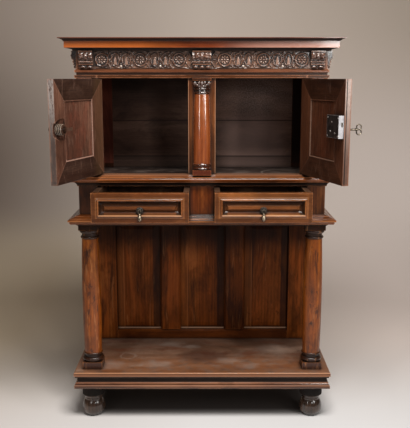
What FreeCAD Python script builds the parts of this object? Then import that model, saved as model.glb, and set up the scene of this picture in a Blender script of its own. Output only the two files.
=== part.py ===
import FreeCAD
import Part
import Sketcher
import math
import os

# Two-stage walnut sideboard on turned columns.
# Millimetres. X runs to the right, Y to the back, Z up. The origin lies on the floor,
# in the middle of the case, halfway between its front posts and its back.

DOCUMENT = FreeCAD.newDocument("sideboard")

# Driving sizes, in millimetres and degrees, each with what it measures

SIZES = [
    # the case as a whole
    ("case_half", 500, "half width over the drawer stage's corner posts"),
    ("case_depth_half", 205, "half depth from the posts' front to the back"),
    ("cupboard_half", 492, "half width of the cupboard and of the frieze"),
    ("overrun", 5, "how far each cutting solid runs past what it cuts"),
    # heights of the tiers, from the floor up
    ("foot_height", 156, "turned foot"),
    ("plinth_height", 47, "moulded frame under the platform"),
    ("platform_thick", 25, "platform board"),
    ("column_height", 625, "front column with its two square blocks"),
    ("lower_waist_height", 46, "moulding under the drawers"),
    ("drawer_stage_height", 117, "posts beside the drawers"),
    ("upper_waist_height", 48, "moulding under the doors"),
    ("door_opening_height", 382, "front stiles of the cupboard"),
    ("frieze_height", 104, "carved frieze"),
    ("cornice_height", 49, "cornice"),
    # turned feet
    ("foot_inset", 26, "foot axis inside the case's sides"),
    ("foot_offset_front", 57, "foot axis behind the front of the posts"),
    ("foot_rest_radius", 28, "flat under the ball"),
    ("foot_ball_radius", 49, "ball at its widest"),
    ("foot_ball_height", 76, "top of the ball"),
    ("foot_ball_middle", 38, "height of the ball's centre"),
    ("foot_waist_radius", 37, "neck above the ball"),
    ("foot_waist_top", 79, "top of the neck"),
    ("foot_flare_height", 18, "hollow between neck and collar"),
    ("foot_collar_radius", 48, "collar under the plinth"),
    # plinth frame, offsets measured outwards from the posts' plane
    ("plinth_out", 40, "lowest fillet"),
    ("plinth_fillet", 9, "height of the lowest fillet"),
    ("plinth_round_top", 27, "top of the rounded moulding"),
    ("plinth_round_out", 32, "rounded moulding at its top"),
    ("plinth_recess_out", 28, "recess under the platform"),
    ("plinth_recess_from", 29, "foot of the recess"),
    ("plinth_band", 115, "depth of the frame's front and sides"),
    ("plinth_back_band", 100, "depth of the frame's back rail"),
    # platform edge
    ("platform_low_out", 36, "lower fillet of the platform edge"),
    ("platform_low_height", 8, "height of the lower fillet"),
    ("platform_nose_out", 41, "nose of the platform edge"),
    ("platform_nose_top", 18, "height where the nose rounds over"),
    ("platform_top_out", 34, "where the rounding meets the top"),
    # columns
    ("column_inset", 34, "column axis inside the case's sides"),
    ("column_behind", 36, "column axis behind the front of the posts"),
    ("column_block_half", 41, "half width of the square blocks"),
    ("column_plinth_height", 31, "lower block"),
    ("column_torus_height", 21, "base torus"),
    ("column_torus_neck", 34, "radius beside the base torus"),
    ("column_scotia_height", 9, "hollow over the torus"),
    ("column_scotia_radius", 34.5, "radius over the hollow"),
    ("column_ring_height", 11, "ring at the foot of the shaft"),
    ("column_ring_neck", 35, "radius beside that ring"),
    ("column_shaft_foot", 36.5, "shaft radius at its foot"),
    ("column_shaft_top", 33.5, "shaft radius at its top"),
    ("column_shaft_bow", 7000, "radius of the shaft's swelling"),
    ("column_astragal_height", 10, "ring under the neck"),
    ("column_neck_height", 12, "plain neck"),
    ("column_neck_radius", 33, "radius of the neck"),
    ("column_echinus_height", 16, "cushion under the upper block"),
    ("column_echinus_out", 40, "radius over the cushion"),
    ("column_abacus_height", 21, "upper block"),
    # lower waist moulding
    ("lower_waist_neck", 8, "foot of the hollow"),
    ("lower_waist_hollow_out", 30, "top of the hollow"),
    ("lower_waist_hollow_top", 10, "height of the hollow"),
    ("lower_waist_round_foot", 34, "foot of the rounded moulding"),
    ("lower_waist_round_from", 12, "height where the round begins"),
    ("lower_waist_round_top", 21, "height where the round ends"),
    ("lower_waist_round_axis", 31, "centre line of the round"),
    ("lower_waist_fillet_out", 42, "upper fillet"),
    ("lower_waist_fillet_top", 28, "top of the upper fillet"),
    ("waist_band_side", 75, "depth of the frame inside the posts' plane, sides"),
    ("waist_band_front", 85, "depth of the frame inside the posts' plane, front"),
    ("bearer_thick", 18, "board that the drawers run on"),
    ("bearer_lap", 15, "how far that board laps on its frame"),
    # upper waist moulding
    ("upper_waist_neck", 5, "foot of the hollow"),
    ("upper_waist_neck_top", 4, "height where the hollow begins"),
    ("upper_waist_hollow_out", 25, "top of the hollow"),
    ("upper_waist_hollow_top", 19, "height of the hollow"),
    ("upper_waist_round_foot", 30, "foot of the rounded moulding"),
    ("upper_waist_round_from", 22, "height where the round begins"),
    ("upper_waist_round_top", 36, "height where the round ends"),
    ("upper_waist_round_axis", 27, "centre line of the round"),
    ("upper_waist_fillet_out", 34, "upper fillet"),
    ("upper_waist_fillet_top", 40, "top of the upper fillet"),
    ("upper_waist_rim_out", 16, "where the slope meets the flat rim"),
    ("upper_waist_rim_depth", 30, "depth of the rim behind the posts' plane"),
    ("floor_drop", 17, "cupboard floor below the rim"),
    ("floor_thick", 18, "cupboard floor board"),
    # drawer stage
    ("drawer_post_width", 74, "corner post of the drawer stage"),
    ("drawer_post_depth", 60, "corner post, front to back"),
    ("drawer_middle_half", 48, "half width of the middle post"),
    ("drawer_middle_depth", 30, "middle post, front to back"),
    ("stage_side_thick", 22, "side board of the drawer stage"),
    ("stage_side_set_back", 4, "side board behind the corner post's face"),
    ("guide_height", 18, "strips that guide the drawers"),
    # back
    ("back_post_width", 90, "back post seen from the front"),
    ("back_post_depth", 45, "back post, front to back"),
    ("back_frame_thick", 30, "rails and muntins of the back"),
    ("back_bottom_rail", 45, "height of the bottom rail"),
    ("back_panel_height", 519, "height of the panels between the rails"),
    ("back_middle_rail_top", 14, "middle rail above the cupboard floor's rim"),
    ("back_muntin_width", 94, "muntins between the panels"),
    ("back_panel_pitch", 299, "distance between panel centres"),
    ("back_chamfer", 8, "chamfer along the rails' edges"),
    ("back_panel_thick", 9, "panel at its edge"),
    ("back_panel_rise", 7, "raised field over that edge"),
    ("back_panel_set_back", 12, "panel's edge behind the frame's face"),
    ("back_panel_bevel", 34, "width of the panel's bevel"),
    ("back_board_thick", 16, "horizontal boards behind the cupboard"),
    ("back_lower_board", 181, "height of the lower board"),
    # front of the cupboard
    ("stile_width", 68, "outer stile"),
    ("stile_thick", 40, "outer stile, front to back"),
    ("middle_stile_half", 54.5, "half width of the middle stile"),
    ("middle_stile_thick", 30, "middle stile, front to back"),
    ("side_thick", 20, "side board of the cupboard"),
    ("side_set_back", 5, "side board behind the stile's face"),
    # half columns
    ("half_plinth_height", 20, "block under the base"),
    ("half_plinth_half", 37, "half width of that block"),
    ("half_plinth_out", 38, "block in front of the stile"),
    ("half_base_radius", 36, "radius of the base rings"),
    ("half_base_neck", 33, "radius between the base rings"),
    ("half_base_ring", 11, "height of one base ring"),
    ("half_base_gap", 5, "hollow between the base rings"),
    ("half_shaft_foot", 34.5, "shaft radius at its foot"),
    ("half_shaft_top", 30, "shaft radius at its top"),
    ("half_shaft_bow", 3500, "radius of the shaft's swelling"),
    ("half_astragal_height", 10, "ring at the top of the shaft"),
    ("half_neck_height", 6, "neck between rings"),
    ("half_neck_radius", 26, "radius of the neck"),
    ("half_ring_height", 11, "upper ring"),
    ("half_bell_height", 26, "bell of the capital"),
    ("half_bell_out", 34, "radius of the bell's lip"),
    ("half_abacus_height", 10, "block over the bell"),
    ("half_abacus_half", 37, "half width of that block"),
    ("outer_column_x", 462, "outer half column from the middle"),
    ("outer_girth", 0.82, "outer half columns' radii as a share of the middle one's"),
    ("outer_block_half", 30, "half width of the outer half columns' blocks"),
    ("outer_block_out", 28, "those blocks in front of the stile, clear of the open door"),
    # frieze
    ("frieze_thick", 40, "front of the frieze, front to back"),
    ("frieze_side_thick", 28, "sides of the frieze"),
    ("frieze_fillet_out", 9, "lowest fillet"),
    ("frieze_fillet_top", 11, "top of the lowest fillet"),
    ("frieze_groove_out", 2, "groove over the fillet"),
    ("frieze_groove_top", 20, "top of the groove"),
    ("frieze_round_out", 8, "rounded moulding under the carving"),
    ("frieze_round_top", 30, "its straight part ends here"),
    ("frieze_field_foot", 36, "foot of the carved field"),
    # corbels
    ("corbel_half", 27, "half width of an outer corbel"),
    ("corbel_middle_half", 36, "half width of the middle corbel"),
    ("corbel_offset_x", 453, "outer corbel from the middle"),
    ("corbel_out", 25, "corbel at its top"),
    ("corbel_foot_out", 11, "corbel at its foot"),
    ("corbel_foot", 36, "foot of the corbel above the frieze's foot"),
    ("corbel_drop_top", 13, "top of the drops over the corbel's foot"),
    ("corbel_bead_top", 28, "top of the bead row over the corbel's foot"),
    ("corbel_bead_out", 16, "bead row in front of the frieze"),
    ("corbel_scroll_radius", 40, "radius of the corbel's bulging scroll"),
    ("corbel_side_depth", 42, "corbel on the side face, front to back"),
    ("corbel_side_out", 19, "corbel on the side face at its top"),
    ("corbel_cap", 7, "fillet at the corbel's top"),
    # cornice
    ("cornice_bed_out", 13, "foot of the cornice"),
    ("cornice_bed_top", 6, "height of the bed moulding"),
    ("cornice_soffit_out", 40, "outer edge of the soffit"),
    ("cornice_soffit_top", 11, "underside of the corona"),
    ("cornice_corona_top", 35, "top of the corona"),
    ("cornice_fillet_out", 43, "fillet over the corona"),
    ("cornice_fillet_top", 38, "top of that fillet"),
    ("cornice_lip_out", 61, "lip of the cornice"),
    ("cornice_lip_from", 46, "foot of the lip"),
    ("cornice_band", 75, "depth of the frame inside the frieze's plane"),
    ("top_board_thick", 16, "top board"),
    ("top_board_lap", 15, "how far the top board laps on the cornice"),
    # doors
    ("door_gap", 1.5, "gap beside and between doors and stiles"),
    ("door_gap_foot", 4, "gap under the doors"),
    ("door_gap_head", 3, "gap over the doors"),
    ("door_thick", 24, "door frame at its outer edge"),
    ("door_dish", 5, "how far the frame's inner face slopes down to the panel"),
    ("door_rim", 5, "flat rim round that slope"),
    ("door_proud", 10, "door's face in front of the stiles"),
    ("door_member", 80, "width of the door's frame members"),
    ("door_panel_thick", 8, "panel at its edge"),
    ("door_panel_rise", 7, "raised field on the outside"),
    ("door_panel_bevel", 30, "width of its bevel"),
    ("door_panel_sink", 2.5, "panel below the frame's inner edge"),
    ("hinge_forward", 3, "hinge axis in front of the stiles"),
    ("hinge_inset", 9, "hinge axis from the door's edge"),
    ("hinge_pin_radius", 3, "pivot pin"),
    ("hinge_pin_bite", 14, "pin in the door"),
    ("hinge_pin_reach", 12, "pin in the moulding below and above"),
    ("pin_clearance", 0.05, "running clearance round pins"),
    ("left_door_angle", 109, "opening of the left door"),
    ("right_door_angle", 106.7, "opening of the right door"),
    # lock and key
    ("lock_width", 92, "lock case along the door"),
    ("lock_height", 80, "lock case"),
    ("lock_depth", 20, "lock case out of the door"),
    ("lock_wall", 2, "sheet of the lock case"),
    ("lock_edge", 4, "lock case from the door's free edge"),
    ("lock_over_rim", 212, "lock case centre above the cupboard's rim"),
    ("key_over_rim", 200, "key axis above the cupboard's rim"),
    ("key_edge", 44, "key axis from the door's free edge"),
    ("key_shank_radius", 3.6, "key shank"),
    ("key_shank_out", 48, "shank in front of the door"),
    ("key_shank_in", 17.5, "shank behind the door's inner face"),
    ("key_collar_radius", 5.5, "collar on the shank"),
    ("key_collar_length", 4, "length of the collar"),
    ("key_clearance", 0.3, "room round the shank"),
    ("key_bow_ring", 9.5, "centre-line radius of each ring of the bow"),
    ("key_bow_wire", 2.3, "radius of the bow's bar"),
    ("key_bow_half", 9, "ring centre above and below the shank"),
    ("key_bit_length", 14, "bit below the axis"),
    ("key_bit_thick", 2.6, "thickness of the bit"),
    ("key_bit_depth", 7, "bit along the shank"),
    ("bolt_height", 16, "lock bolt"),
    ("bolt_thick", 6, "lock bolt"),
    ("bolt_length", 74, "lock bolt"),
    ("bolt_above_key", 20, "bolt axis above the key axis"),
    ("bolt_layer", 4, "bolt behind the door's inner face"),
    ("bolt_clearance", 0.3, "room round the bolt"),
    ("bolt_travel", 12, "how far the bolt comes out"),
    # catch of the left door
    ("catch_over_rim", 201, "catch axis above the cupboard's rim"),
    ("catch_edge", 34, "catch axis from the door's free edge"),
    ("catch_scoop_length", 66, "hollow round the catch, half its length"),
    ("catch_scoop_height", 39, "hollow, half its height"),
    ("catch_scoop_depth", 10, "hollow at its deepest"),
    ("catch_scoop_edge", 50, "centre of the hollow from the free edge"),
    ("catch_spindle_radius", 4, "spindle through the door"),
    ("catch_flange_radius", 18, "flange against the door"),
    ("catch_flange_thick", 4, "that flange"),
    ("catch_neck_radius", 13, "barrel between the flanges"),
    ("catch_barrel", 29.5, "flange seat to the tongue"),
    ("catch_tongue_length", 56, "tongue from the axis"),
    ("catch_tongue_width", 12, "tongue"),
    ("catch_tongue_thick", 3, "tongue"),
    ("catch_knob_radius", 11, "small knob on the outside"),
    ("catch_knob_length", 16, "that knob"),
    # drawers
    ("drawer_gap", 1.5, "gap beside and over a drawer"),
    ("drawer_float", 0.3, "running clearance under a drawer"),
    ("drawer_length", 345, "drawer, front to back"),
    ("drawer_front_thick", 26, "drawer front"),
    ("drawer_side_thick", 22, "drawer side"),
    ("drawer_side_drop", 3, "drawer side below the front's top"),
    ("drawer_bottom_thick", 8, "drawer bottom"),
    ("drawer_bottom_lift", 8, "drawer bottom over the sides' foot"),
    ("drawer_border", 20, "flat border of the drawer front"),
    ("drawer_border_bevel", 8, "bevel inside that border"),
    ("drawer_recess", 10, "depth of the recess"),
    ("drawer_field_gap", 12, "recess floor round the raised field"),
    ("drawer_field_bevel", 10, "bevel of the raised field"),
    ("drawer_field_rise", 9, "raised field over the recess floor"),
    ("left_drawer_pull", 180, "how far the left drawer stands open"),
    ("right_drawer_pull", 175, "how far the right drawer stands open"),
    # drop pulls
    ("pull_level", 49, "pull axis above the drawer's foot"),
    ("pull_rose_radius", 12, "rose"),
    ("pull_rose_thick", 3, "rose"),
    ("pull_stem_radius", 3.4, "stem out of the rose"),
    ("pull_stem_length", 13, "stem out of the front"),
    ("pull_pin_radius", 1.4, "pin of the drop"),
    ("pull_pin_back", 4, "pin behind the stem's end"),
    ("pull_cheek_gap", 0.4, "room beside the stem"),
    ("pull_cheek_thick", 1.8, "cheeks of the drop"),
    ("pull_cheek_length", 9, "cheeks below the pin"),
    ("pull_drop_length", 30, "pear of the drop"),
    ("pull_drop_radius", 7, "pear at its widest"),
    ("pull_drop_neck", 3, "pear at its neck"),
]

SHEET = DOCUMENT.addObject("Spreadsheet::Sheet", "sizes")
SHEET.Label = "sizes"
for row, (alias, value, meaning) in enumerate(SIZES, start=1):
    SHEET.set("A%d" % row, alias)
    SHEET.set("B%d" % row, str(value))
    SHEET.set("C%d" % row, meaning)
    SHEET.setAlias("B%d" % row, alias)
DOCUMENT.recompute()


class Size:
    """A length that keeps both its number and its formula in terms of the sheet."""

    def __init__(self, text, value):
        self.text = text
        self.value = value

    def __add__(self, other):
        other = as_size(other)
        return Size("(%s + %s)" % (self.text, other.text), self.value + other.value)

    def __sub__(self, other):
        other = as_size(other)
        return Size("(%s - %s)" % (self.text, other.text), self.value - other.value)

    def __mul__(self, share):
        share = as_size(share)
        return Size("(%s * %s)" % (self.text, share.text), self.value * share.value)

    def __truediv__(self, share):
        share = as_size(share)
        return Size("(%s / %s)" % (self.text, share.text), self.value / share.value)

    def __neg__(self):
        return Size("(0 - %s)" % self.text, -self.value)

    __radd__ = __add__
    __rmul__ = __mul__


def as_size(amount):
    """A plain number as a Size."""
    return amount if isinstance(amount, Size) else Size(repr(amount), amount)


class Sheet:
    """Reads a size from the sheet by its alias."""

    def __getattr__(self, alias):
        return Size("sizes.%s" % alias, float(SHEET.get(alias)))


S = Sheet()
ZERO = as_size(0)

# Levels and planes worked out from the driving sizes

PLINTH = S.foot_height
PLATFORM = PLINTH + S.plinth_height
PLATFORM_TOP = PLATFORM + S.platform_thick
LOWER_WAIST = PLATFORM_TOP + S.column_height
DRAWER_STAGE = LOWER_WAIST + S.lower_waist_height
UPPER_WAIST = DRAWER_STAGE + S.drawer_stage_height
RIM = UPPER_WAIST + S.upper_waist_height
FRIEZE = RIM + S.door_opening_height
CORNICE = FRIEZE + S.frieze_height
TOP = CORNICE + S.cornice_height
LOCK_MIDDLE = RIM + S.lock_over_rim
KEY_LEVEL = RIM + S.key_over_rim
CATCH_LEVEL = RIM + S.catch_over_rim

FRONT = -S.case_depth_half
BACK = S.case_depth_half
BACK_FRAME = BACK - S.back_post_depth
COLUMN_X = S.case_half - S.column_inset
FOOT_X = S.case_half - S.foot_inset

# Small helpers that bind objects to the sheet


def bind(thing, name, size):
    """Ties one property to its formula."""
    thing.setExpression(name, as_size(size).text)


def place(thing, x=ZERO, y=ZERO, z=ZERO, angle=None):
    """Ties an object's place, and its turn about Z, to formulas."""
    bind(thing, "Placement.Base.x", x)
    bind(thing, "Placement.Base.y", y)
    bind(thing, "Placement.Base.z", z)
    if angle is not None:
        thing.Placement.Rotation = FreeCAD.Rotation(FreeCAD.Vector(0, 0, 1), angle.value)
        bind(thing, "Placement.Rotation.Angle", angle)
    return thing


def box(name, x, y, z):
    """A board between pairs of X, Y and Z planes."""
    board = DOCUMENT.addObject("Part::Box", name)
    bind(board, "Length", x[1] - x[0])
    bind(board, "Width", y[1] - y[0])
    bind(board, "Height", z[1] - z[0])
    return place(board, x[0], y[0], z[0])


TURN_TO = {
    "X": FreeCAD.Rotation(FreeCAD.Vector(0, 1, 0), 90),
    "Y": FreeCAD.Rotation(FreeCAD.Vector(1, 0, 0), -90),
    "Z": FreeCAD.Rotation(),
}


def cylinder(name, along, radius, length, start):
    """A round bar along one axis, from its start point."""
    bar = DOCUMENT.addObject("Part::Cylinder", name)
    bind(bar, "Radius", radius)
    bind(bar, "Height", length)
    bar.Placement = FreeCAD.Placement(FreeCAD.Vector(), TURN_TO[along])
    return place(bar, *start)


def frustum(name, x, y, z, bevel):
    """A raised field: its base fills the X and Z span at y[0], its face is smaller by the bevel at y[1]."""
    field = DOCUMENT.addObject("Part::Wedge", name)
    bind(field, "Xmin", ZERO)
    bind(field, "Ymin", ZERO)
    bind(field, "Zmin", ZERO)
    rise = y[1] - y[0]
    forwards = rise.value < 0
    depth = -rise if forwards else rise
    near, far = (bevel, ZERO) if forwards else (ZERO, bevel)
    bind(field, "Xmin", near)
    bind(field, "Zmin", near)
    bind(field, "Xmax", x[1] - x[0] - near)
    bind(field, "Zmax", z[1] - z[0] - near)
    bind(field, "Ymax", depth)
    bind(field, "X2min", far)
    bind(field, "Z2min", far)
    bind(field, "X2max", x[1] - x[0] - far)
    bind(field, "Z2max", z[1] - z[0] - far)
    return place(field, x[0], y[1] if forwards else y[0], z[0])


def cut(name, base, *tools):
    """A solid with others taken away."""
    for tool in tools:
        result = DOCUMENT.addObject("Part::Cut", name)
        result.Base = base
        result.Tool = tool
        base = result
    return base


def join(name, *pieces):
    """Pieces of one solid."""
    result = DOCUMENT.addObject("Part::MultiFuse", name)
    result.Shapes = list(pieces)
    result.Refine = True
    return result


def common(name, first, second):
    """What two solids share."""
    result = DOCUMENT.addObject("Part::Common", name)
    result.Base = first
    result.Tool = second
    return result


def group(name, *pieces):
    """Like pieces that share a node and stay separate solids."""
    result = DOCUMENT.addObject("Part::Compound", name)
    result.Links = list(pieces)
    return result


def ordered(first, second):
    """Two places as a low and high pair."""
    return (first, second) if first.value <= second.value else (second, first)


# Outlines: a list of (u, v) points, with an Arc between two of them where the edge is round


class Arc:
    """A round edge, whose centre lies at the given u or v, bulging to the given side of u."""

    def __init__(self, u=None, v=None, radius=None, side=1):
        self.u = u
        self.v = v
        self.radius = radius
        self.side = side

    def centre(self, start, end):
        """The centre that lies equally far from both ends."""
        (x1, y1), (x2, y2) = start, end
        if self.u is not None:
            x = self.u.value
            y = ((x1 - x) ** 2 - (x2 - x) ** 2 + y1 ** 2 - y2 ** 2) / (2 * (y1 - y2))
            return x, y
        if self.v is not None:
            y = self.v.value
            x = ((y1 - y) ** 2 - (y2 - y) ** 2 + x1 ** 2 - x2 ** 2) / (2 * (x1 - x2))
            return x, y
        middle = ((x1 + x2) / 2, (y1 + y2) / 2)
        chord = math.hypot(x2 - x1, y2 - y1)
        away = math.sqrt(self.radius.value ** 2 - (chord / 2) ** 2)
        normal = ((y2 - y1) / chord, (x1 - x2) / chord)
        if normal[0] * self.side > 0:
            normal = (-normal[0], -normal[1])
        return middle[0] + normal[0] * away, middle[1] + normal[1] * away

    def middle(self, start, end):
        """A point halfway along the edge."""
        x, y = self.centre(start, end)
        radius = math.hypot(start[0] - x, start[1] - y)
        across = ((start[0] + end[0]) / 2 - x, (start[1] + end[1]) / 2 - y)
        length = math.hypot(*across)
        if length < radius / 1000:
            across = (abs(end[1] - start[1]) * self.side, 0)
            length = math.hypot(*across)
        return x + across[0] / length * radius, y + across[1] / length * radius


def hold(sketch, edge, end, u, v):
    """Fixes one point of a sketch at its formulas."""
    for axis, kind, size in ((-2, "DistanceX", u), (-1, "DistanceY", v)):
        if size.text == ZERO.text:
            sketch.addConstraint(Sketcher.Constraint("PointOnObject", edge, end, axis))
        else:
            number = sketch.addConstraint(
                Sketcher.Constraint(kind, -1, 1, edge, end, size.value))
            bind(sketch, "Constraints[%d]" % number, size)


def draw(sketch, outline):
    """Draws a closed outline and ties each corner to the sheet."""
    corners = [item for item in outline if not isinstance(item, Arc)]
    corners = [(as_size(u), as_size(v)) for u, v in corners]
    arcs = {}
    for item in outline:
        if isinstance(item, Arc):
            arcs[len(arcs_before(outline, item)) - 1] = item
    ends = []
    for index, corner in enumerate(corners):
        following = corners[(index + 1) % len(corners)]
        start = (corner[0].value, corner[1].value)
        end = (following[0].value, following[1].value)
        start_point = FreeCAD.Vector(start[0], start[1], 0)
        end_point = FreeCAD.Vector(end[0], end[1], 0)
        arc = arcs.get(index)
        if arc is None:
            edge = sketch.addGeometry(Part.LineSegment(start_point, end_point))
            ends.append((edge, 1, 2))
            continue
        middle = FreeCAD.Vector(*arc.middle(start, end), 0)
        bend = (middle - start_point).cross(end_point - middle).z
        if bend > 0:
            edge = sketch.addGeometry(Part.Arc(start_point, middle, end_point))
            ends.append((edge, 1, 2))
        else:
            edge = sketch.addGeometry(Part.Arc(end_point, middle, start_point))
            ends.append((edge, 2, 1))
    for index, (edge, start, end) in enumerate(ends):
        next_edge, next_start, _ = ends[(index + 1) % len(ends)]
        sketch.addConstraint(Sketcher.Constraint("Coincident", edge, end, next_edge, next_start))
    for index, (edge, start, end) in enumerate(ends):
        hold(sketch, edge, start, *corners[index])
    for index, arc in arcs.items():
        edge = ends[index][0]
        if arc.radius is not None:
            number = sketch.addConstraint(Sketcher.Constraint("Radius", edge, arc.radius.value))
            bind(sketch, "Constraints[%d]" % number, arc.radius)
        elif arc.u is not None:
            hold_centre(sketch, edge, "DistanceX", -2, arc.u)
        else:
            hold_centre(sketch, edge, "DistanceY", -1, arc.v)


def arcs_before(outline, item):
    """The corners that come before one arc."""
    return [other for other in outline[:outline.index(item)] if not isinstance(other, Arc)]


def hold_centre(sketch, edge, kind, axis, size):
    """Fixes one coordinate of an arc's centre."""
    if size.text == ZERO.text:
        sketch.addConstraint(Sketcher.Constraint("PointOnObject", edge, 3, axis))
        return
    number = sketch.addConstraint(Sketcher.Constraint(kind, -1, 1, edge, 3, size.value))
    bind(sketch, "Constraints[%d]" % number, size)


def sketched_body(name, plane, outline):
    """A body with one closed sketch on one of its own planes."""
    body = DOCUMENT.addObject("PartDesign::Body", name)
    sketch = body.newObject("Sketcher::SketchObject", name + "_outline")
    planes = {item.Role: item for item in body.Origin.OriginFeatures}
    sketch.AttachmentSupport = (planes[plane], [""])
    sketch.MapMode = "FlatFace"
    draw(sketch, outline)
    return body, sketch


def pad(name, plane, outline, length, x=ZERO, y=ZERO, z=ZERO):
    """A profile pushed straight out of its plane: XY goes up, XZ to the front, YZ to the right."""
    body, sketch = sketched_body(name, plane, outline)
    feature = body.newObject("PartDesign::Pad", name + "_pad")
    feature.Profile = sketch
    bind(feature, "Length", length)
    return place(body, x, y, z)


def turn(name, outline, x=ZERO, y=ZERO, z=ZERO, angle=360, to_front=True):
    """A profile of radii and heights, turned about its own upright axis."""
    body, sketch = sketched_body(name, "XZ_Plane", outline)
    feature = body.newObject("PartDesign::Revolution", name + "_turning")
    feature.Profile = sketch
    feature.ReferenceAxis = (sketch, ["V_Axis"])
    feature.Angle = angle
    feature.Reversed = to_front
    return place(body, x, y, z)


NODES = {}


def node(name, thing):
    """Names a finished sub-part."""
    thing.Label = name
    NODES[name] = thing
    return thing


# A moulded tier: one profile run round the front and both sides, mitred at the corners.
# The front profile, pushed across, and the side profile, pushed back, share the mitred solid.


def moulded_tier(name, half, foot, height, profile):
    """Points of the profile are (out, up), from the foot of the tier to its top."""
    points = [p if isinstance(p, Arc) else (as_size(p[0]), as_size(p[1])) for p in profile]
    out_most = max(p[0].value for p in points if not isinstance(p, Arc))
    widest = [p for p in points if not isinstance(p, Arc) and p[0].value == out_most][0][0]
    front = [(FRONT - p[0], p[1]) if not isinstance(p, Arc)
             else Arc(u=FRONT - p.u, side=-p.side) for p in points]
    front = front + [(BACK, height), (BACK, ZERO)]
    across = half + widest + S.overrun
    run = pad(name + "_run", "YZ_Plane", front, across * 2, x=-across, z=foot)
    right = [(half + p[0], p[1]) if not isinstance(p, Arc)
             else Arc(u=half + p.u, side=p.side) for p in points]
    left = [(-half - p[0], p[1]) if not isinstance(p, Arc)
            else Arc(u=-half - p.u, side=-p.side) for p in reversed(points)]
    depth = S.case_depth_half * 2 + widest + S.overrun * 2
    returns = pad(name + "_returns", "XZ_Plane", right + left, depth, y=BACK + S.overrun, z=foot)
    return common(name + "_block", run, returns)


def through(name, half, y, z):
    """A cutting block across the case, between two Y planes and two levels."""
    return box(name, (-half, half), y, z)


PAST_BACK = BACK + S.overrun


# Turned feet


def make_foot(name, x, y):
    """Bun foot: flattened ball, waist, hollow and collar."""
    ball = S.foot_ball_radius
    return turn(name, [
        (ZERO, ZERO),
        (S.foot_rest_radius, ZERO),
        Arc(v=S.foot_ball_middle),
        (ball, S.foot_ball_middle),
        Arc(v=S.foot_ball_middle),
        (S.foot_waist_radius, S.foot_ball_height - S.overrun / 2),
        (S.foot_waist_radius, S.foot_waist_top),
        Arc(u=S.foot_collar_radius, side=-1),
        (S.foot_collar_radius, S.foot_waist_top + S.foot_flare_height),
        (S.foot_collar_radius, S.foot_height),
        (ZERO, S.foot_height),
    ], x=x, y=y)


FOOT_FRONT = FRONT + S.foot_offset_front
FOOT_BACK = BACK - S.foot_offset_front
node("left_front_foot", make_foot("left_front_foot", -FOOT_X, FOOT_FRONT))
node("right_front_foot", make_foot("right_front_foot", FOOT_X, FOOT_FRONT))
node("rear_feet", group(
    "rear_feet",
    make_foot("left_rear_foot", -FOOT_X, FOOT_BACK),
    make_foot("right_rear_foot", FOOT_X, FOOT_BACK),
))

# Plinth frame and platform

plinth_block = moulded_tier("plinth", S.case_half, PLINTH, S.plinth_height, [
    (S.plinth_out, ZERO),
    (S.plinth_out, S.plinth_fillet),
    Arc(u=S.plinth_round_out - S.plinth_recess_out, side=1),
    (S.plinth_round_out, S.plinth_round_top),
    (S.plinth_recess_out, S.plinth_recess_from),
    (S.plinth_recess_out, S.plinth_height),
])
plinth_opening = through(
    "plinth_opening",
    S.case_half + S.plinth_out - S.plinth_band,
    (FRONT - S.plinth_out + S.plinth_band, BACK - S.plinth_back_band),
    (PLINTH - S.overrun, PLATFORM + S.overrun))
node("plinth_frame", cut("plinth_frame", plinth_block, plinth_opening))

node("platform_board", moulded_tier("platform", S.case_half, PLATFORM, S.platform_thick, [
    (S.platform_low_out, ZERO),
    (S.platform_low_out, S.platform_low_height),
    (S.platform_nose_out, S.platform_low_height),
    (S.platform_nose_out, S.platform_nose_top),
    Arc(u=S.platform_top_out, side=1),
    (S.platform_top_out, S.platform_thick),
]))

# Columns


def make_column(name, x):
    """Square block, base torus, hollow, ring, swelling shaft, astragal, neck, cushion, square block."""
    y = FRONT + S.column_behind
    torus = S.column_plinth_height
    scotia = torus + S.column_torus_height
    ring = scotia + S.column_scotia_height
    shaft = ring + S.column_ring_height
    abacus = S.column_height - S.column_abacus_height
    echinus = abacus - S.column_echinus_height
    neck = echinus - S.column_neck_height
    astragal = neck - S.column_astragal_height
    turning = turn(name + "_turning", [
        (ZERO, ZERO),
        (S.column_torus_neck, ZERO),
        (S.column_torus_neck, torus),
        Arc(u=S.column_torus_neck, side=1),
        (S.column_torus_neck, scotia),
        (S.column_scotia_radius, ring),
        (S.column_ring_neck, ring),
        Arc(u=S.column_ring_neck, side=1),
        (S.column_ring_neck, shaft),
        (S.column_shaft_foot, shaft),
        Arc(radius=S.column_shaft_bow, side=1),
        (S.column_shaft_top, astragal),
        Arc(u=S.column_shaft_top, side=1),
        (S.column_shaft_top, neck),
        (S.column_neck_radius, neck),
        (S.column_neck_radius, echinus),
        Arc(u=S.column_neck_radius, side=1),
        (S.column_echinus_out, abacus),
        (S.column_echinus_out, S.column_height),
        (ZERO, S.column_height),
    ], x=x, y=y, z=PLATFORM_TOP)
    block = (x - S.column_block_half, x + S.column_block_half)
    depth = (y - S.column_block_half, y + S.column_block_half)
    foot = box(name + "_plinth", block, depth, (PLATFORM_TOP, PLATFORM_TOP + torus))
    head = box(name + "_abacus", block, depth, (PLATFORM_TOP + abacus, LOWER_WAIST))
    return join(name, turning, foot, head)


node("left_column", make_column("left_column", -COLUMN_X))
node("right_column", make_column("right_column", COLUMN_X))

# Back: two posts from the platform to the cornice, rails, muntins, panels and boards

POST_IN = S.cupboard_half - S.back_post_width
BACK_FACE = (BACK_FRAME, BACK_FRAME + S.back_frame_thick)
POST_LEVELS = (PLATFORM_TOP, CORNICE)
node("rear_posts", group(
    "rear_posts",
    box("left_rear_post", (-S.cupboard_half, -POST_IN), (BACK_FRAME, BACK), POST_LEVELS),
    box("right_rear_post", (POST_IN, S.cupboard_half), (BACK_FRAME, BACK), POST_LEVELS),
))

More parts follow.
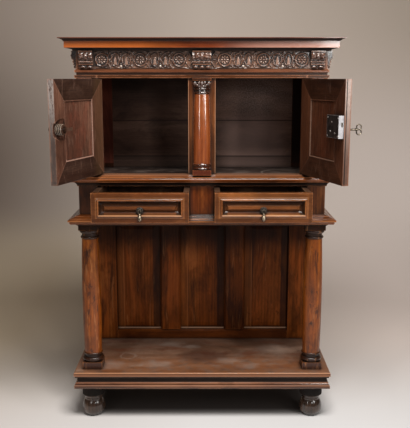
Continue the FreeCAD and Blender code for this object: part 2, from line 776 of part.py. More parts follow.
PANEL_FOOT = PLATFORM_TOP + S.back_bottom_rail
PANEL_HEAD = PANEL_FOOT + S.back_panel_height
MIDDLE_RAIL_TOP = RIM + S.back_middle_rail_top


def chamfered_rail(name, low, high, chamfer_low, chamfer_high):
    """A rail between the rear posts, chamfered along the edges that meet the panels."""
    near, far = BACK_FACE
    outline = [(far, low), (far, high)]
    if chamfer_high:
        outline += [(near + S.back_chamfer, high), (near, high - S.back_chamfer)]
    else:
        outline += [(near, high)]
    if chamfer_low:
        outline += [(near, low + S.back_chamfer), (near + S.back_chamfer, low)]
    else:
        outline += [(near, low)]
    return pad(name, "YZ_Plane", outline, POST_IN * 2, x=-POST_IN)


node("back_bottom_rail", chamfered_rail("back_bottom_rail", PLATFORM_TOP, PANEL_FOOT, False, True))
node("back_middle_rail",
     chamfered_rail("back_middle_rail", PANEL_HEAD, MIDDLE_RAIL_TOP, True, False))

MUNTIN_HALF = S.back_muntin_width / 2


def make_muntin(name, x):
    """An upright between two panels, with chamfered edges."""
    near, far = BACK_FACE
    corner = S.back_chamfer
    return pad(name, "XY_Plane", [
        (x - MUNTIN_HALF, far),
        (x - MUNTIN_HALF, near + corner),
        (x - MUNTIN_HALF + corner, near),
        (x + MUNTIN_HALF - corner, near),
        (x + MUNTIN_HALF, near + corner),
        (x + MUNTIN_HALF, far),
    ], S.back_panel_height, z=PANEL_FOOT)


node("back_muntins", group(
    "back_muntins",
    make_muntin("left_back_muntin", -S.back_panel_pitch / 2),
    make_muntin("right_back_muntin", S.back_panel_pitch / 2),
))


def make_back_panel(name, x):
    """A thin panel with a raised and bevelled field to the front."""
    edge = BACK_FRAME + S.back_panel_set_back
    levels = (PANEL_FOOT, PANEL_HEAD)
    thin = box(name + "_edge", x, (edge, edge + S.back_panel_thick), levels)
    field = frustum(name + "_field", x, (edge, edge - S.back_panel_rise), levels,
                    S.back_panel_bevel)
    return join(name, thin, field)


MUNTIN_OUT = S.back_panel_pitch / 2 + MUNTIN_HALF
MUNTIN_IN = S.back_panel_pitch / 2 - MUNTIN_HALF
for panel_name, span in (
    ("left_back_panel", (-POST_IN, -MUNTIN_OUT)),
    ("centre_back_panel", (-MUNTIN_IN, MUNTIN_IN)),
    ("right_back_panel", (MUNTIN_OUT, POST_IN)),
):
    node(panel_name, make_back_panel(panel_name, span))

BOARD_FACE = (BACK_FRAME, BACK_FRAME + S.back_board_thick)
BOARD_JOINT = MIDDLE_RAIL_TOP + S.back_lower_board
node("back_lower_board", box("back_lower_board", (-POST_IN, POST_IN), BOARD_FACE,
                             (MIDDLE_RAIL_TOP, BOARD_JOINT)))
node("back_upper_board", box("back_upper_board", (-POST_IN, POST_IN), BOARD_FACE,
                             (BOARD_JOINT, CORNICE)))

# Lower waist moulding, an open frame that carries the drawer stage

waist_block = moulded_tier("lower_waist", S.case_half, LOWER_WAIST, S.lower_waist_height, [
    (S.lower_waist_neck, ZERO),
    Arc(u=S.lower_waist_hollow_out, side=-1),
    (S.lower_waist_hollow_out, S.lower_waist_hollow_top),
    (S.lower_waist_round_foot, S.lower_waist_hollow_top),
    (S.lower_waist_round_foot, S.lower_waist_round_from),
    Arc(u=S.lower_waist_round_axis, side=1),
    (S.lower_waist_round_foot, S.lower_waist_round_top),
    (S.lower_waist_fillet_out, S.lower_waist_round_top),
    (S.lower_waist_fillet_out, S.lower_waist_fillet_top),
    (ZERO, S.lower_waist_height),
])
FRAME_IN = S.case_half - S.waist_band_side
FRAME_FRONT = FRONT + S.waist_band_front
BEARER_IN = FRAME_IN + S.bearer_lap
BEARER_FRONT = FRAME_FRONT - S.bearer_lap
BEARER_FOOT = DRAWER_STAGE - S.bearer_thick
node("lower_waist_moulding", cut(
    "lower_waist_moulding", waist_block,
    through("lower_waist_opening", FRAME_IN, (FRAME_FRONT, PAST_BACK),
            (LOWER_WAIST - S.overrun, DRAWER_STAGE + S.overrun)),
    through("lower_waist_rebate", BEARER_IN, (BEARER_FRONT, PAST_BACK),
            (BEARER_FOOT, DRAWER_STAGE + S.overrun)),
    through("lower_waist_back", S.cupboard_half, (BACK_FRAME, PAST_BACK),
            (LOWER_WAIST - S.overrun, DRAWER_STAGE + S.overrun)),
))

# Drawer stage

POST_FACE = (FRONT, FRONT + S.drawer_post_depth)
DRAWER_OUT = S.case_half - S.drawer_post_width
STAGE = (DRAWER_STAGE, UPPER_WAIST)
node("left_drawer_post", box("left_drawer_post", (-S.case_half, -DRAWER_OUT), POST_FACE, STAGE))
node("right_drawer_post", box("right_drawer_post", (DRAWER_OUT, S.case_half), POST_FACE, STAGE))
node("centre_drawer_post", box(
    "centre_drawer_post", (-S.drawer_middle_half, S.drawer_middle_half),
    (FRONT, FRONT + S.drawer_middle_depth), STAGE))

SIDE_OUT = S.case_half - S.stage_side_set_back
SIDE_IN = SIDE_OUT - S.stage_side_thick
STAGE_SIDE = (FRONT + S.drawer_post_depth, BACK_FRAME)
node("left_stage_side", box("left_stage_side", (-SIDE_OUT, -SIDE_IN), STAGE_SIDE, STAGE))
node("right_stage_side", box("right_stage_side", (SIDE_IN, SIDE_OUT), STAGE_SIDE, STAGE))

GUIDE = (DRAWER_STAGE - S.bearer_thick, DRAWER_STAGE + S.guide_height)
GUIDE_RUN = (BEARER_FRONT, BACK_FRAME)
GUIDE_OUT = DRAWER_OUT
node("drawer_bearer_board", join(
    "drawer_bearer_board",
    box("bearer", (-BEARER_IN, BEARER_IN), (BEARER_FRONT, BACK_FRAME),
        (BEARER_FOOT, DRAWER_STAGE)),
    box("middle_guide", (-S.drawer_middle_half, S.drawer_middle_half), GUIDE_RUN, GUIDE),
    box("left_guide", (-BEARER_IN, -GUIDE_OUT), GUIDE_RUN, GUIDE),
    box("right_guide", (GUIDE_OUT, BEARER_IN), GUIDE_RUN, GUIDE),
))

# Upper waist moulding, with the rebate that the cupboard floor lies in

rim_block = moulded_tier("upper_waist", S.case_half, UPPER_WAIST, S.upper_waist_height, [
    (S.upper_waist_neck, ZERO),
    (S.upper_waist_neck, S.upper_waist_neck_top),
    Arc(u=S.upper_waist_hollow_out, side=-1),
    (S.upper_waist_hollow_out, S.upper_waist_hollow_top),
    (S.upper_waist_round_foot, S.upper_waist_hollow_top),
    (S.upper_waist_round_foot, S.upper_waist_round_from),
    Arc(u=S.upper_waist_round_axis, side=1),
    (S.upper_waist_round_foot, S.upper_waist_round_top),
    (S.upper_waist_fillet_out, S.upper_waist_round_top),
    (S.upper_waist_fillet_out, S.upper_waist_fillet_top),
    (S.upper_waist_rim_out, S.upper_waist_height),
])
FLOOR_TOP = RIM - S.floor_drop
FLOOR_FOOT = FLOOR_TOP - S.floor_thick
FLOOR_IN = S.cupboard_half - S.side_set_back - S.side_thick
FLOOR_FRONT = FRONT + S.upper_waist_rim_depth


def hinge_x(side):
    """World X of a door's hinge axis; side is -1 on the left and 1 on the right."""
    reach = S.cupboard_half - S.stile_width - S.door_gap - S.hinge_inset
    return reach if side > 0 else -reach


HINGE_Y = FRONT - S.hinge_forward


def pivot_hole(name, side, z):
    """The hole that a door's pivot pin turns in."""
    return cylinder(name, "Z", S.hinge_pin_radius + S.pin_clearance,
                    S.hinge_pin_reach + S.overrun, (hinge_x(side), HINGE_Y, z))


node("upper_waist_moulding", cut(
    "upper_waist_moulding", rim_block,
    through("upper_waist_opening", FRAME_IN, (FRAME_FRONT, PAST_BACK),
            (UPPER_WAIST - S.overrun, RIM + S.overrun)),
    through("floor_rebate", FLOOR_IN, (FLOOR_FRONT, PAST_BACK), (FLOOR_FOOT, RIM + S.overrun)),
    through("upper_waist_back", S.cupboard_half, (BACK_FRAME, PAST_BACK),
            (UPPER_WAIST - S.overrun, RIM + S.overrun)),
    pivot_hole("left_foot_pivot", -1, RIM - S.hinge_pin_reach),
    pivot_hole("right_foot_pivot", 1, RIM - S.hinge_pin_reach),
))
node("cupboard_floor", box("cupboard_floor", (-FLOOR_IN, FLOOR_IN), (FLOOR_FRONT, BACK_FRAME),
                           (FLOOR_FOOT, FLOOR_TOP)))

# Stiles and sides of the cupboard

STILE_IN = S.cupboard_half - S.stile_width
STILE_FACE = (FRONT, FRONT + S.stile_thick)
OPENING = (RIM, FRIEZE)
node("left_front_stile", box("left_front_stile", (-S.cupboard_half, -STILE_IN), STILE_FACE,
                             OPENING))
node("right_front_stile", box("right_front_stile", (STILE_IN, S.cupboard_half), STILE_FACE,
                              OPENING))

DOOR_INNER = S.door_thick - S.door_proud + S.hinge_forward
BOLT_LEVEL = KEY_LEVEL + S.bolt_above_key
bolt_world = HINGE_Y + DOOR_INNER + S.bolt_layer
stile_board = box("middle_stile_board", (-S.middle_stile_half, S.middle_stile_half),
                  (FRONT, FRONT + S.middle_stile_thick), OPENING)
bolt_mortise = box(
    "bolt_mortise",
    (S.middle_stile_half - S.bolt_travel, S.middle_stile_half + S.overrun),
    (bolt_world - S.bolt_clearance, bolt_world + S.bolt_thick + S.bolt_clearance),
    (BOLT_LEVEL - S.bolt_height / 2 - S.bolt_clearance,
     BOLT_LEVEL + S.bolt_height / 2 + S.bolt_clearance))
node("centre_stile", cut("centre_stile", stile_board, bolt_mortise))

CUPBOARD_SIDE_OUT = S.cupboard_half - S.side_set_back
CUPBOARD_SIDE = (FRONT + S.stile_thick, BACK_FRAME)
node("left_cupboard_side", box("left_cupboard_side", (-CUPBOARD_SIDE_OUT, -FLOOR_IN),
                               CUPBOARD_SIDE, OPENING))
node("right_cupboard_side", box("right_cupboard_side", (FLOOR_IN, CUPBOARD_SIDE_OUT),
                                CUPBOARD_SIDE, OPENING))

# Half columns in front of the stiles


def make_half_column(name, x, girth, foot_half, foot_out, head_half, head_out):
    """Block, two base rings, swelling shaft, astragal, neck, ring, bell and block, cut in half."""
    lower_ring = S.half_plinth_height
    gap = lower_ring + S.half_base_ring
    upper_ring = gap + S.half_base_gap
    shaft = upper_ring + S.half_base_ring
    abacus = S.door_opening_height - S.half_abacus_height
    bell = abacus - S.half_bell_height
    ring = bell - S.half_ring_height
    neck = ring - S.half_neck_height
    astragal = neck - S.half_astragal_height
    base = S.half_base_neck * girth
    foot = S.half_shaft_foot * girth
    top = S.half_shaft_top * girth
    throat = S.half_neck_radius * girth
    lip = S.half_bell_out * girth
    bulge = S.half_base_radius - S.half_base_neck
    turning = turn(name + "_turning", [
        (ZERO, lower_ring),
        (base, lower_ring),
        Arc(u=base - bulge, side=1),
        (base, gap),
        (foot, gap),
        (foot, upper_ring),
        Arc(u=foot - bulge, side=1),
        (foot, shaft),
        Arc(radius=S.half_shaft_bow, side=1),
        (top, astragal),
        Arc(u=throat, side=1),
        (top, neck),
        (throat, neck),
        (throat, ring),
        Arc(u=throat, side=1),
        (throat, bell),
        Arc(u=lip, side=-1),
        (lip, abacus),
        (ZERO, abacus),
    ], x=x, y=FRONT, z=RIM, angle=180)
    block = box(name + "_plinth", (x - foot_half, x + foot_half), (FRONT - foot_out, FRONT),
                (RIM, RIM + lower_ring))
    head = box(name + "_abacus", (x - head_half, x + head_half), (FRONT - head_out, FRONT),
               (RIM + abacus, FRIEZE))
    return join(name, turning, block, head)


MIDDLE_GIRTH = S.half_shaft_foot / S.half_shaft_foot
MIDDLE_SHAPE = (MIDDLE_GIRTH, S.half_plinth_half, S.half_plinth_out,
                S.half_abacus_half, S.half_abacus_half)
OUTER_SHAPE = (S.outer_girth, S.outer_block_half, S.outer_block_out,
               S.outer_block_half, S.outer_block_out)
node("centre_half_column", make_half_column("centre_half_column", ZERO, *MIDDLE_SHAPE))
node("outer_half_columns", group(
    "outer_half_columns",
    make_half_column("left_half_column", -S.outer_column_x, *OUTER_SHAPE),
    make_half_column("right_half_column", S.outer_column_x, *OUTER_SHAPE),
))

# Frieze and corbels

frieze_block = moulded_tier("frieze", S.cupboard_half, FRIEZE, S.frieze_height, [
    (S.frieze_fillet_out, ZERO),
    (S.frieze_fillet_out, S.frieze_fillet_top),
    (S.frieze_groove_out, S.frieze_fillet_top),
    (S.frieze_groove_out, S.frieze_groove_top),
    (S.frieze_round_out, S.frieze_groove_top + S.frieze_groove_out),
    (S.frieze_round_out, S.frieze_round_top),
    (ZERO, S.frieze_field_foot),
    (ZERO, S.frieze_height),
])
FRIEZE_IN = S.cupboard_half - S.frieze_side_thick
node("frieze_board", cut(
    "frieze_board", frieze_block,
    through("frieze_hollow", FRIEZE_IN, (FRONT + S.frieze_thick, PAST_BACK),
            (FRIEZE - S.overrun, CORNICE + S.overrun)),
    through("frieze_back", S.cupboard_half, (BACK_FRAME, PAST_BACK),
            (FRIEZE - S.overrun, CORNICE + S.overrun)),
    pivot_hole("left_head_pivot", -1, FRIEZE - S.overrun),
    pivot_hole("right_head_pivot", 1, FRIEZE - S.overrun),
))


def corbel_profile(face, out, foot_out, sign):
    """Scroll over a bead row over a drop, as (u, v) with u measured away from the face."""
    foot = S.corbel_foot + FRIEZE
    drop = foot + S.corbel_drop_top
    bead = foot + S.corbel_bead_top
    cap = CORNICE + S.cornice_bed_top - S.corbel_cap
    bead_out = min((S.corbel_bead_out, out), key=lambda size: size.value)
    return [
        (face, foot),
        (face + foot_out * sign, foot),
        (face + foot_out * sign, drop),
        (face + bead_out * sign, drop),
        (face + bead_out * sign, bead),
        Arc(radius=S.corbel_scroll_radius, side=sign),
        (face + out * sign, cap),
        (face + out * sign, CORNICE),
        (face, CORNICE),
    ]


def make_corbel(name, x, half):
    """A corbel on the front of the frieze."""
    outline = corbel_profile(FRONT, S.corbel_out, S.corbel_foot_out, -1)
    return pad(name, "YZ_Plane", outline, half * 2, x=x - half)


node("centre_corbel", make_corbel("centre_corbel", ZERO, S.corbel_middle_half))
for corbel_name, side in (("left_corbel", -1), ("right_corbel", 1)):
    node(corbel_name, group(
        corbel_name,
        make_corbel(corbel_name + "_front", S.corbel_offset_x * side, S.corbel_half),
        pad(corbel_name + "_side", "XZ_Plane",
            corbel_profile(S.cupboard_half * side, S.corbel_side_out, S.corbel_foot_out, side),
            S.corbel_side_depth, y=FRONT + S.corbel_side_depth),
    ))

# Cornice and top board

cornice_block = moulded_tier("cornice", S.cupboard_half, CORNICE, S.cornice_height, [
    (S.cornice_bed_out, ZERO),
    (S.cornice_bed_out, S.cornice_bed_top),
    (S.cornice_soffit_out, S.cornice_soffit_top),
    (S.cornice_soffit_out, S.cornice_corona_top),
    (S.cornice_fillet_out, S.cornice_corona_top),
    (S.cornice_fillet_out, S.cornice_fillet_top),
    Arc(u=S.cornice_lip_out - S.cornice_fillet_top + S.cornice_fillet_out, side=-1),
    (S.cornice_lip_out, S.cornice_lip_from),
    (S.cornice_lip_out, S.cornice_height),
])
CORNICE_IN = S.cupboard_half - S.cornice_band
CORNICE_FRONT = FRONT + S.cornice_band
CORNICE_BACK = BACK - S.cornice_band
LID_FOOT = TOP - S.top_board_thick
node("cornice_moulding", cut(
    "cornice_moulding", cornice_block,
    through("cornice_opening", CORNICE_IN, (CORNICE_FRONT, CORNICE_BACK),
            (CORNICE - S.overrun, TOP + S.overrun)),
    through("cornice_rebate", CORNICE_IN + S.top_board_lap,
            (CORNICE_FRONT - S.top_board_lap, CORNICE_BACK + S.top_board_lap),
            (LID_FOOT, TOP + S.overrun)),
))
LID_IN = CORNICE_IN + S.top_board_lap
node("top_board", box("top_board", (-LID_IN, LID_IN),
                      (CORNICE_FRONT - S.top_board_lap, CORNICE_BACK + S.top_board_lap),
                      (LID_FOOT, TOP)))

# Doors, drawn about their hinge axis with x along the closed door and y to the back

DOOR_FOOT = RIM + S.door_gap_foot
DOOR_HEAD = FRIEZE - S.door_gap_head
DOOR_REACH = (S.cupboard_half - S.stile_width - S.door_gap - S.hinge_inset
              - S.middle_stile_half - S.door_gap)
DOOR_FACE = S.hinge_forward - S.door_proud
DOOR_BACK = DOOR_FACE + S.door_thick
DOOR_DISH = DOOR_BACK - S.door_dish


def along(side, low, high):
    """An X span on a door, from low to high away from the hinge axis."""
    return (low, high) if side < 0 else (-high, -low)


def door_place(thing, side):
    """Hangs a piece of a door on its hinge axis at its opening angle."""
    angle = -S.left_door_angle if side < 0 else S.right_door_angle
    return place(thing, hinge_x(side), HINGE_Y, ZERO, angle)


def door_frame_block(name, side):
    """The whole frame: rounded at the hinge, its inner face sloping down to the panel's opening."""
    sign = 1 if side < 0 else -1
    inset = S.hinge_inset
    corner = -DOOR_FACE
    slab = pad(name + "_slab", "XY_Plane", [
        (-inset * sign, DOOR_BACK),
        (-inset * sign, ZERO),
        Arc(u=(corner - inset) * sign, side=-sign),
        ((corner - inset) * sign, DOOR_FACE),
        (DOOR_REACH * sign, DOOR_FACE),
        (DOOR_REACH * sign, DOOR_BACK),
    ], DOOR_HEAD - DOOR_FOOT, z=DOOR_FOOT)
    rim = S.door_rim
    dish = frustum(name + "_dish", along(side, rim - inset, DOOR_REACH - rim),
                   (DOOR_BACK, DOOR_DISH), (DOOR_FOOT + rim, DOOR_HEAD - rim),
                   S.door_member - rim)
    opening = box(name + "_opening",
                  along(side, S.door_member - inset, DOOR_REACH - S.door_member),
                  (DOOR_FACE - S.overrun, DOOR_BACK + S.overrun),
                  (DOOR_FOOT + S.door_member, DOOR_HEAD - S.door_member))
    return cut(name + "_frame", slab, dish, opening)


def door_member(name, frame, side, which):
    """One mitred member of a door's frame: what the frame shares with its trapezium."""
    sign = 1 if side < 0 else -1
    near, far = -S.hinge_inset * sign, DOOR_REACH * sign
    near_in = (S.door_member - S.hinge_inset) * sign
    far_in = (DOOR_REACH - S.door_member) * sign
    low_in, high_in = DOOR_FOOT + S.door_member, DOOR_HEAD - S.door_member
    corners = {
        "hinge": [(near, DOOR_FOOT), (near_in, low_in), (near_in, high_in), (near, DOOR_HEAD)],
        "free": [(far, DOOR_FOOT), (far, DOOR_HEAD), (far_in, high_in), (far_in, low_in)],
        "foot": [(near, DOOR_FOOT), (far, DOOR_FOOT), (far_in, low_in), (near_in, low_in)],
        "head": [(near, DOOR_HEAD), (near_in, high_in), (far_in, high_in), (far, DOOR_HEAD)],
    }[which]
    depth = S.door_thick + S.overrun * 2
    wedge = pad(name + "_mitre", "XZ_Plane", corners, depth, y=DOOR_BACK + S.overrun)
    return common(name, frame, wedge)


def door_panel(name, side):
    """The panel, with a raised field to the outside."""
    span = along(side, S.door_member - S.hinge_inset, DOOR_REACH - S.door_member)
    levels = (DOOR_FOOT + S.door_member, DOOR_HEAD - S.door_member)
    inner = DOOR_DISH - S.door_panel_sink
    thin = box(name + "_edge", span, (inner - S.door_panel_thick, inner), levels)
    field = frustum(name + "_field", span,
                    (inner - S.door_panel_thick, inner - S.door_panel_thick - S.door_panel_rise),
                    levels, S.door_panel_bevel)
    return join(name, thin, field)


def door_pins(name, side):
    """Pivot pins in the door's foot and head."""
    length = S.hinge_pin_bite + S.door_gap_foot + S.hinge_pin_reach - S.door_gap
    upper = S.hinge_pin_bite + S.door_gap_head + S.hinge_pin_reach - S.door_gap
    lower_start = DOOR_FOOT + S.hinge_pin_bite - length
    foot = cylinder(name + "_foot", "Z", S.hinge_pin_radius, length, (ZERO, ZERO, lower_start))
    head = cylinder(name + "_head", "Z", S.hinge_pin_radius, upper,
                    (ZERO, ZERO, DOOR_HEAD - S.hinge_pin_bite))
    return foot, head


def pin_seat(name, side):
    """The two holes that the pins are driven into."""
    return [
        cylinder(name + "_foot_seat", "Z", S.hinge_pin_radius, S.hinge_pin_bite + S.overrun,
                 (ZERO, ZERO, DOOR_FOOT - S.overrun)),
        cylinder(name + "_head_seat", "Z", S.hinge_pin_radius, S.hinge_pin_bite + S.overrun,
                 (ZERO, ZERO, DOOR_HEAD - S.hinge_pin_bite)),
    ]


KEY_X = DOOR_REACH - S.key_edge
CATCH_X = DOOR_REACH - S.catch_edge


def key_way():
    """The keyhole through the right door, with its slot for the bit."""
    length = S.door_thick + S.overrun * 2
    hole = cylinder("keyhole", "Y", S.key_shank_radius + S.key_clearance, length,
                    (-KEY_X, DOOR_FACE - S.overrun, KEY_LEVEL))
    half = S.key_bit_thick / 2 + S.key_clearance
    slot = box("keyhole_slot", (-KEY_X - half, -KEY_X + half),
               (DOOR_FACE - S.overrun, DOOR_BACK + S.overrun),
               (KEY_LEVEL - S.key_bit_length - S.key_clearance, KEY_LEVEL))
    gap = S.key_clearance
    seat = box("lock_seat", (-LOCK_NEAR - gap, -LOCK_FAR + gap), (DOOR_DISH, DOOR_BACK + S.overrun),
               (LOCK_LEVELS[0] - gap, LOCK_LEVELS[1] + gap))
    return [hole, slot, seat]


def catch_way():
    """The scooped hollow in the left door's inner face, the flange's seat and the spindle's hole."""
    scoop = DOCUMENT.addObject("Part::Ellipsoid", "catch_scoop")
    bind(scoop, "Radius1", S.catch_scoop_depth)
    bind(scoop, "Radius2", S.catch_scoop_length)
    bind(scoop, "Radius3", S.catch_scoop_height)
    scoop.Placement = FreeCAD.Placement(FreeCAD.Vector(), TURN_TO["Y"])
    place(scoop, DOOR_REACH - S.catch_scoop_edge, SCOOP_Y, CATCH_LEVEL)
    seat_y = CATCH_SEAT
    seat = cylinder("catch_seat", "Y", S.catch_flange_radius + S.key_clearance,
                    S.catch_scoop_depth + S.overrun, (CATCH_X, seat_y, CATCH_LEVEL))
    hole = cylinder("catch_hole", "Y", S.catch_spindle_radius + S.pin_clearance,
                    S.door_thick + S.overrun * 2,
                    (CATCH_X, DOOR_FACE - S.overrun, CATCH_LEVEL))
    return [scoop, seat, hole]


SCOOP_Y = DOOR_BACK - S.door_dish / 2
CATCH_SEAT = SCOOP_Y - S.catch_scoop_depth
LOCK_NEAR = DOOR_REACH - S.lock_edge
LOCK_FAR = LOCK_NEAR - S.lock_width
LOCK_LEVELS = (LOCK_MIDDLE - S.lock_height / 2, LOCK_MIDDLE + S.lock_height / 2)
LOCK_OUT = DOOR_BACK + S.lock_depth

for prefix, side in (("left", -1), ("right", 1)):
    frame = door_frame_block(prefix + "_door", side)
    frame = cut(prefix + "_door_drilled", frame, *pin_seat(prefix + "_door", side))
    hinge_stile = door_member(prefix + "_hinge_stile", frame, side, "hinge")
    free_stile = door_member(prefix + "_free_stile", frame, side, "free")
    ways = catch_way() if side < 0 else key_way()
    free_stile = cut(prefix + "_free_stile_cut", free_stile, *ways)
    foot_rail = cut(prefix + "_foot_rail_cut",
                    door_member(prefix + "_foot_rail", frame, side, "foot"), *ways)
    head_rail = cut(prefix + "_head_rail_cut",
                    door_member(prefix + "_head_rail", frame, side, "head"), *ways)
    stiles = group(prefix + "_door_stiles", hinge_stile, free_stile)
    rails = group(prefix + "_door_rails", foot_rail, head_rail)
    node(prefix + "_door_stiles", door_place(stiles, side))
    node(prefix + "_door_rails", door_place(rails, side))
    panel = door_panel(prefix + "_door_panel", side)
    node(prefix + "_door_panel", door_place(panel, side))
    pins = group(prefix + "_door_pins", *door_pins(prefix + "_door_pin", side))
    node(prefix + "_door_pins", door_place(pins, side))

# Lock, bolt and key on the right door

lock_outside = box("lock_outside", (-LOCK_NEAR, -LOCK_FAR), (DOOR_DISH, LOCK_OUT), LOCK_LEVELS)
lock_inside = box(
    "lock_inside", (-LOCK_NEAR + S.lock_wall, -LOCK_FAR - S.lock_wall),
    (DOOR_DISH - S.overrun, LOCK_OUT - S.lock_wall),
    (LOCK_LEVELS[0] + S.lock_wall, LOCK_LEVELS[1] - S.lock_wall))
BOLT_FACE = (DOOR_BACK + S.bolt_layer, DOOR_BACK + S.bolt_layer + S.bolt_thick)
BOLT_SPAN = (BOLT_LEVEL - S.bolt_height / 2, BOLT_LEVEL + S.bolt_height / 2)
bolt_slot = box(
    "bolt_slot", (-LOCK_NEAR - S.overrun, -LOCK_NEAR + S.lock_wall + S.overrun),
    (BOLT_FACE[0] - S.bolt_clearance, BOLT_FACE[1] + S.bolt_clearance),
    (BOLT_SPAN[0] - S.bolt_clearance, BOLT_SPAN[1] + S.bolt_clearance))
node("lock_case", door_place(cut("lock_case", lock_outside, lock_inside, bolt_slot), 1))
bolt_bar = box("lock_bolt_bar", (-LOCK_NEAR, -LOCK_NEAR + S.bolt_length), BOLT_FACE, BOLT_SPAN)
node("lock_bolt", door_place(group("lock_bolt", bolt_bar), 1))


def make_key():
    """Shank with a collar, a bow of two rings and a flat bit."""
    outer = DOOR_FACE - S.key_shank_out
    shank = cylinder("key_shank", "Y", S.key_shank_radius,
                     DOOR_BACK + S.key_shank_in - outer, (-KEY_X, outer, KEY_LEVEL))
    collar = cylinder("key_collar", "Y", S.key_collar_radius, S.key_collar_length,
                      (-KEY_X, outer, KEY_LEVEL))
    half = S.key_bit_thick / 2
    bit_end = DOOR_BACK + S.key_shank_in
    bit = box("key_bit", (-KEY_X - half, -KEY_X + half), (bit_end - S.key_bit_depth, bit_end),
              (KEY_LEVEL - S.key_bit_length, KEY_LEVEL))
    pieces = [shank, collar, bit]
    for name, sign in (("upper", 1), ("lower", -1)):
        ring = DOCUMENT.addObject("Part::Torus", "key_bow_" + name)
        bind(ring, "Radius1", S.key_bow_ring)
        bind(ring, "Radius2", S.key_bow_wire)
        ring.Placement = FreeCAD.Placement(FreeCAD.Vector(), TURN_TO["X"])
        place(ring, -KEY_X, outer - S.key_bow_ring, KEY_LEVEL + S.key_bow_half * sign)
        pieces.append(ring)
    return join("key", *pieces)


node("key", door_place(make_key(), 1))

# Turning catch on the left door


def make_catch():
    """Spindle through the door, ribbed barrel and tongue inside, small knob outside."""
    flange_end = CATCH_SEAT + S.catch_flange_thick
    tongue_y = CATCH_SEAT + S.catch_barrel
    spindle_start = DOOR_FACE - S.key_clearance - S.catch_knob_length
    pieces = [
        cylinder("catch_spindle", "Y", S.catch_spindle_radius, tongue_y - spindle_start,
                 (CATCH_X, spindle_start, CATCH_LEVEL)),
        cylinder("catch_flange", "Y", S.catch_flange_radius, S.catch_flange_thick,
                 (CATCH_X, CATCH_SEAT + S.pin_clearance, CATCH_LEVEL)),
        cylinder("catch_neck", "Y", S.catch_neck_radius, tongue_y - flange_end,
                 (CATCH_X, flange_end, CATCH_LEVEL)),
        cylinder("catch_head", "Y", S.catch_flange_radius, S.catch_flange_thick,
                 (CATCH_X, tongue_y - S.catch_flange_thick, CATCH_LEVEL)),
        box("catch_tongue", (CATCH_X - S.catch_tongue_length, CATCH_X),
            (tongue_y, tongue_y + S.catch_tongue_thick),
            (CATCH_LEVEL - S.catch_tongue_width / 2, CATCH_LEVEL + S.catch_tongue_width / 2)),
        cylinder("catch_tongue_end", "Y", S.catch_tongue_width / 2, S.catch_tongue_thick,
                 (CATCH_X, tongue_y, CATCH_LEVEL)),
        cylinder("catch_knob", "Y", S.catch_knob_radius, S.catch_knob_length,
                 (CATCH_X, spindle_start, CATCH_LEVEL)),
    ]
    return join("door_catch", *pieces)


node("door_catch", door_place(make_catch(), -1))

# Drawers


def make_drawer(prefix, side, pull):
    """Moulded front, box of two sides and a back, and a bottom board."""
    near = S.drawer_middle_half + S.drawer_gap
    far = S.case_half - S.drawer_post_width - S.drawer_gap
    face = FRONT - pull
    foot = DRAWER_STAGE + S.drawer_float
    head = UPPER_WAIST - S.drawer_gap
    inner = face + S.drawer_front_thick
    end = face + S.drawer_length

    def span(low, high):
        return ordered(low * side, high * side)

    slab = box(prefix + "_front_slab", span(near, far), (face, inner), (foot, head))
    border, bevel = S.drawer_border, S.drawer_border_bevel
    sunk = frustum(prefix + "_front_recess", span(near + border, far - border),
                   (face, face + S.drawer_recess), (foot + border, head - border), bevel)
    shift = border + bevel + S.drawer_field_gap
    field = frustum(prefix + "_front_field", span(near + shift, far - shift),
                    (face + S.drawer_recess, face + S.drawer_recess - S.drawer_field_rise),
                    (foot + shift - S.drawer_border_bevel, head - shift + S.drawer_border_bevel),
                    S.drawer_field_bevel)
    node(prefix + "_drawer_front",
         join(prefix + "_drawer_front", cut(prefix + "_front_sunk", slab, sunk), field))

    side_head = head - S.drawer_side_drop
    thick = S.drawer_side_thick
    node(prefix + "_drawer_box", join(
        prefix + "_drawer_box",
        box(prefix + "_inner_side", span(near, near + thick), (inner, end), (foot, side_head)),
        box(prefix + "_outer_side", span(far - thick, far), (inner, end), (foot, side_head)),
        box(prefix + "_drawer_back", span(near, far), (end - thick, end), (foot, side_head)),
    ))
    low = foot + S.drawer_bottom_lift
    node(prefix + "_drawer_bottom", box(
        prefix + "_drawer_bottom", span(near + thick, far - thick), (inner, end - thick),
        (low, low + S.drawer_bottom_thick)))

    middle = (near + far) / 2 * side
    level = foot + S.pull_level
    make_pull(prefix, middle, face + S.drawer_recess - S.drawer_field_rise, level)


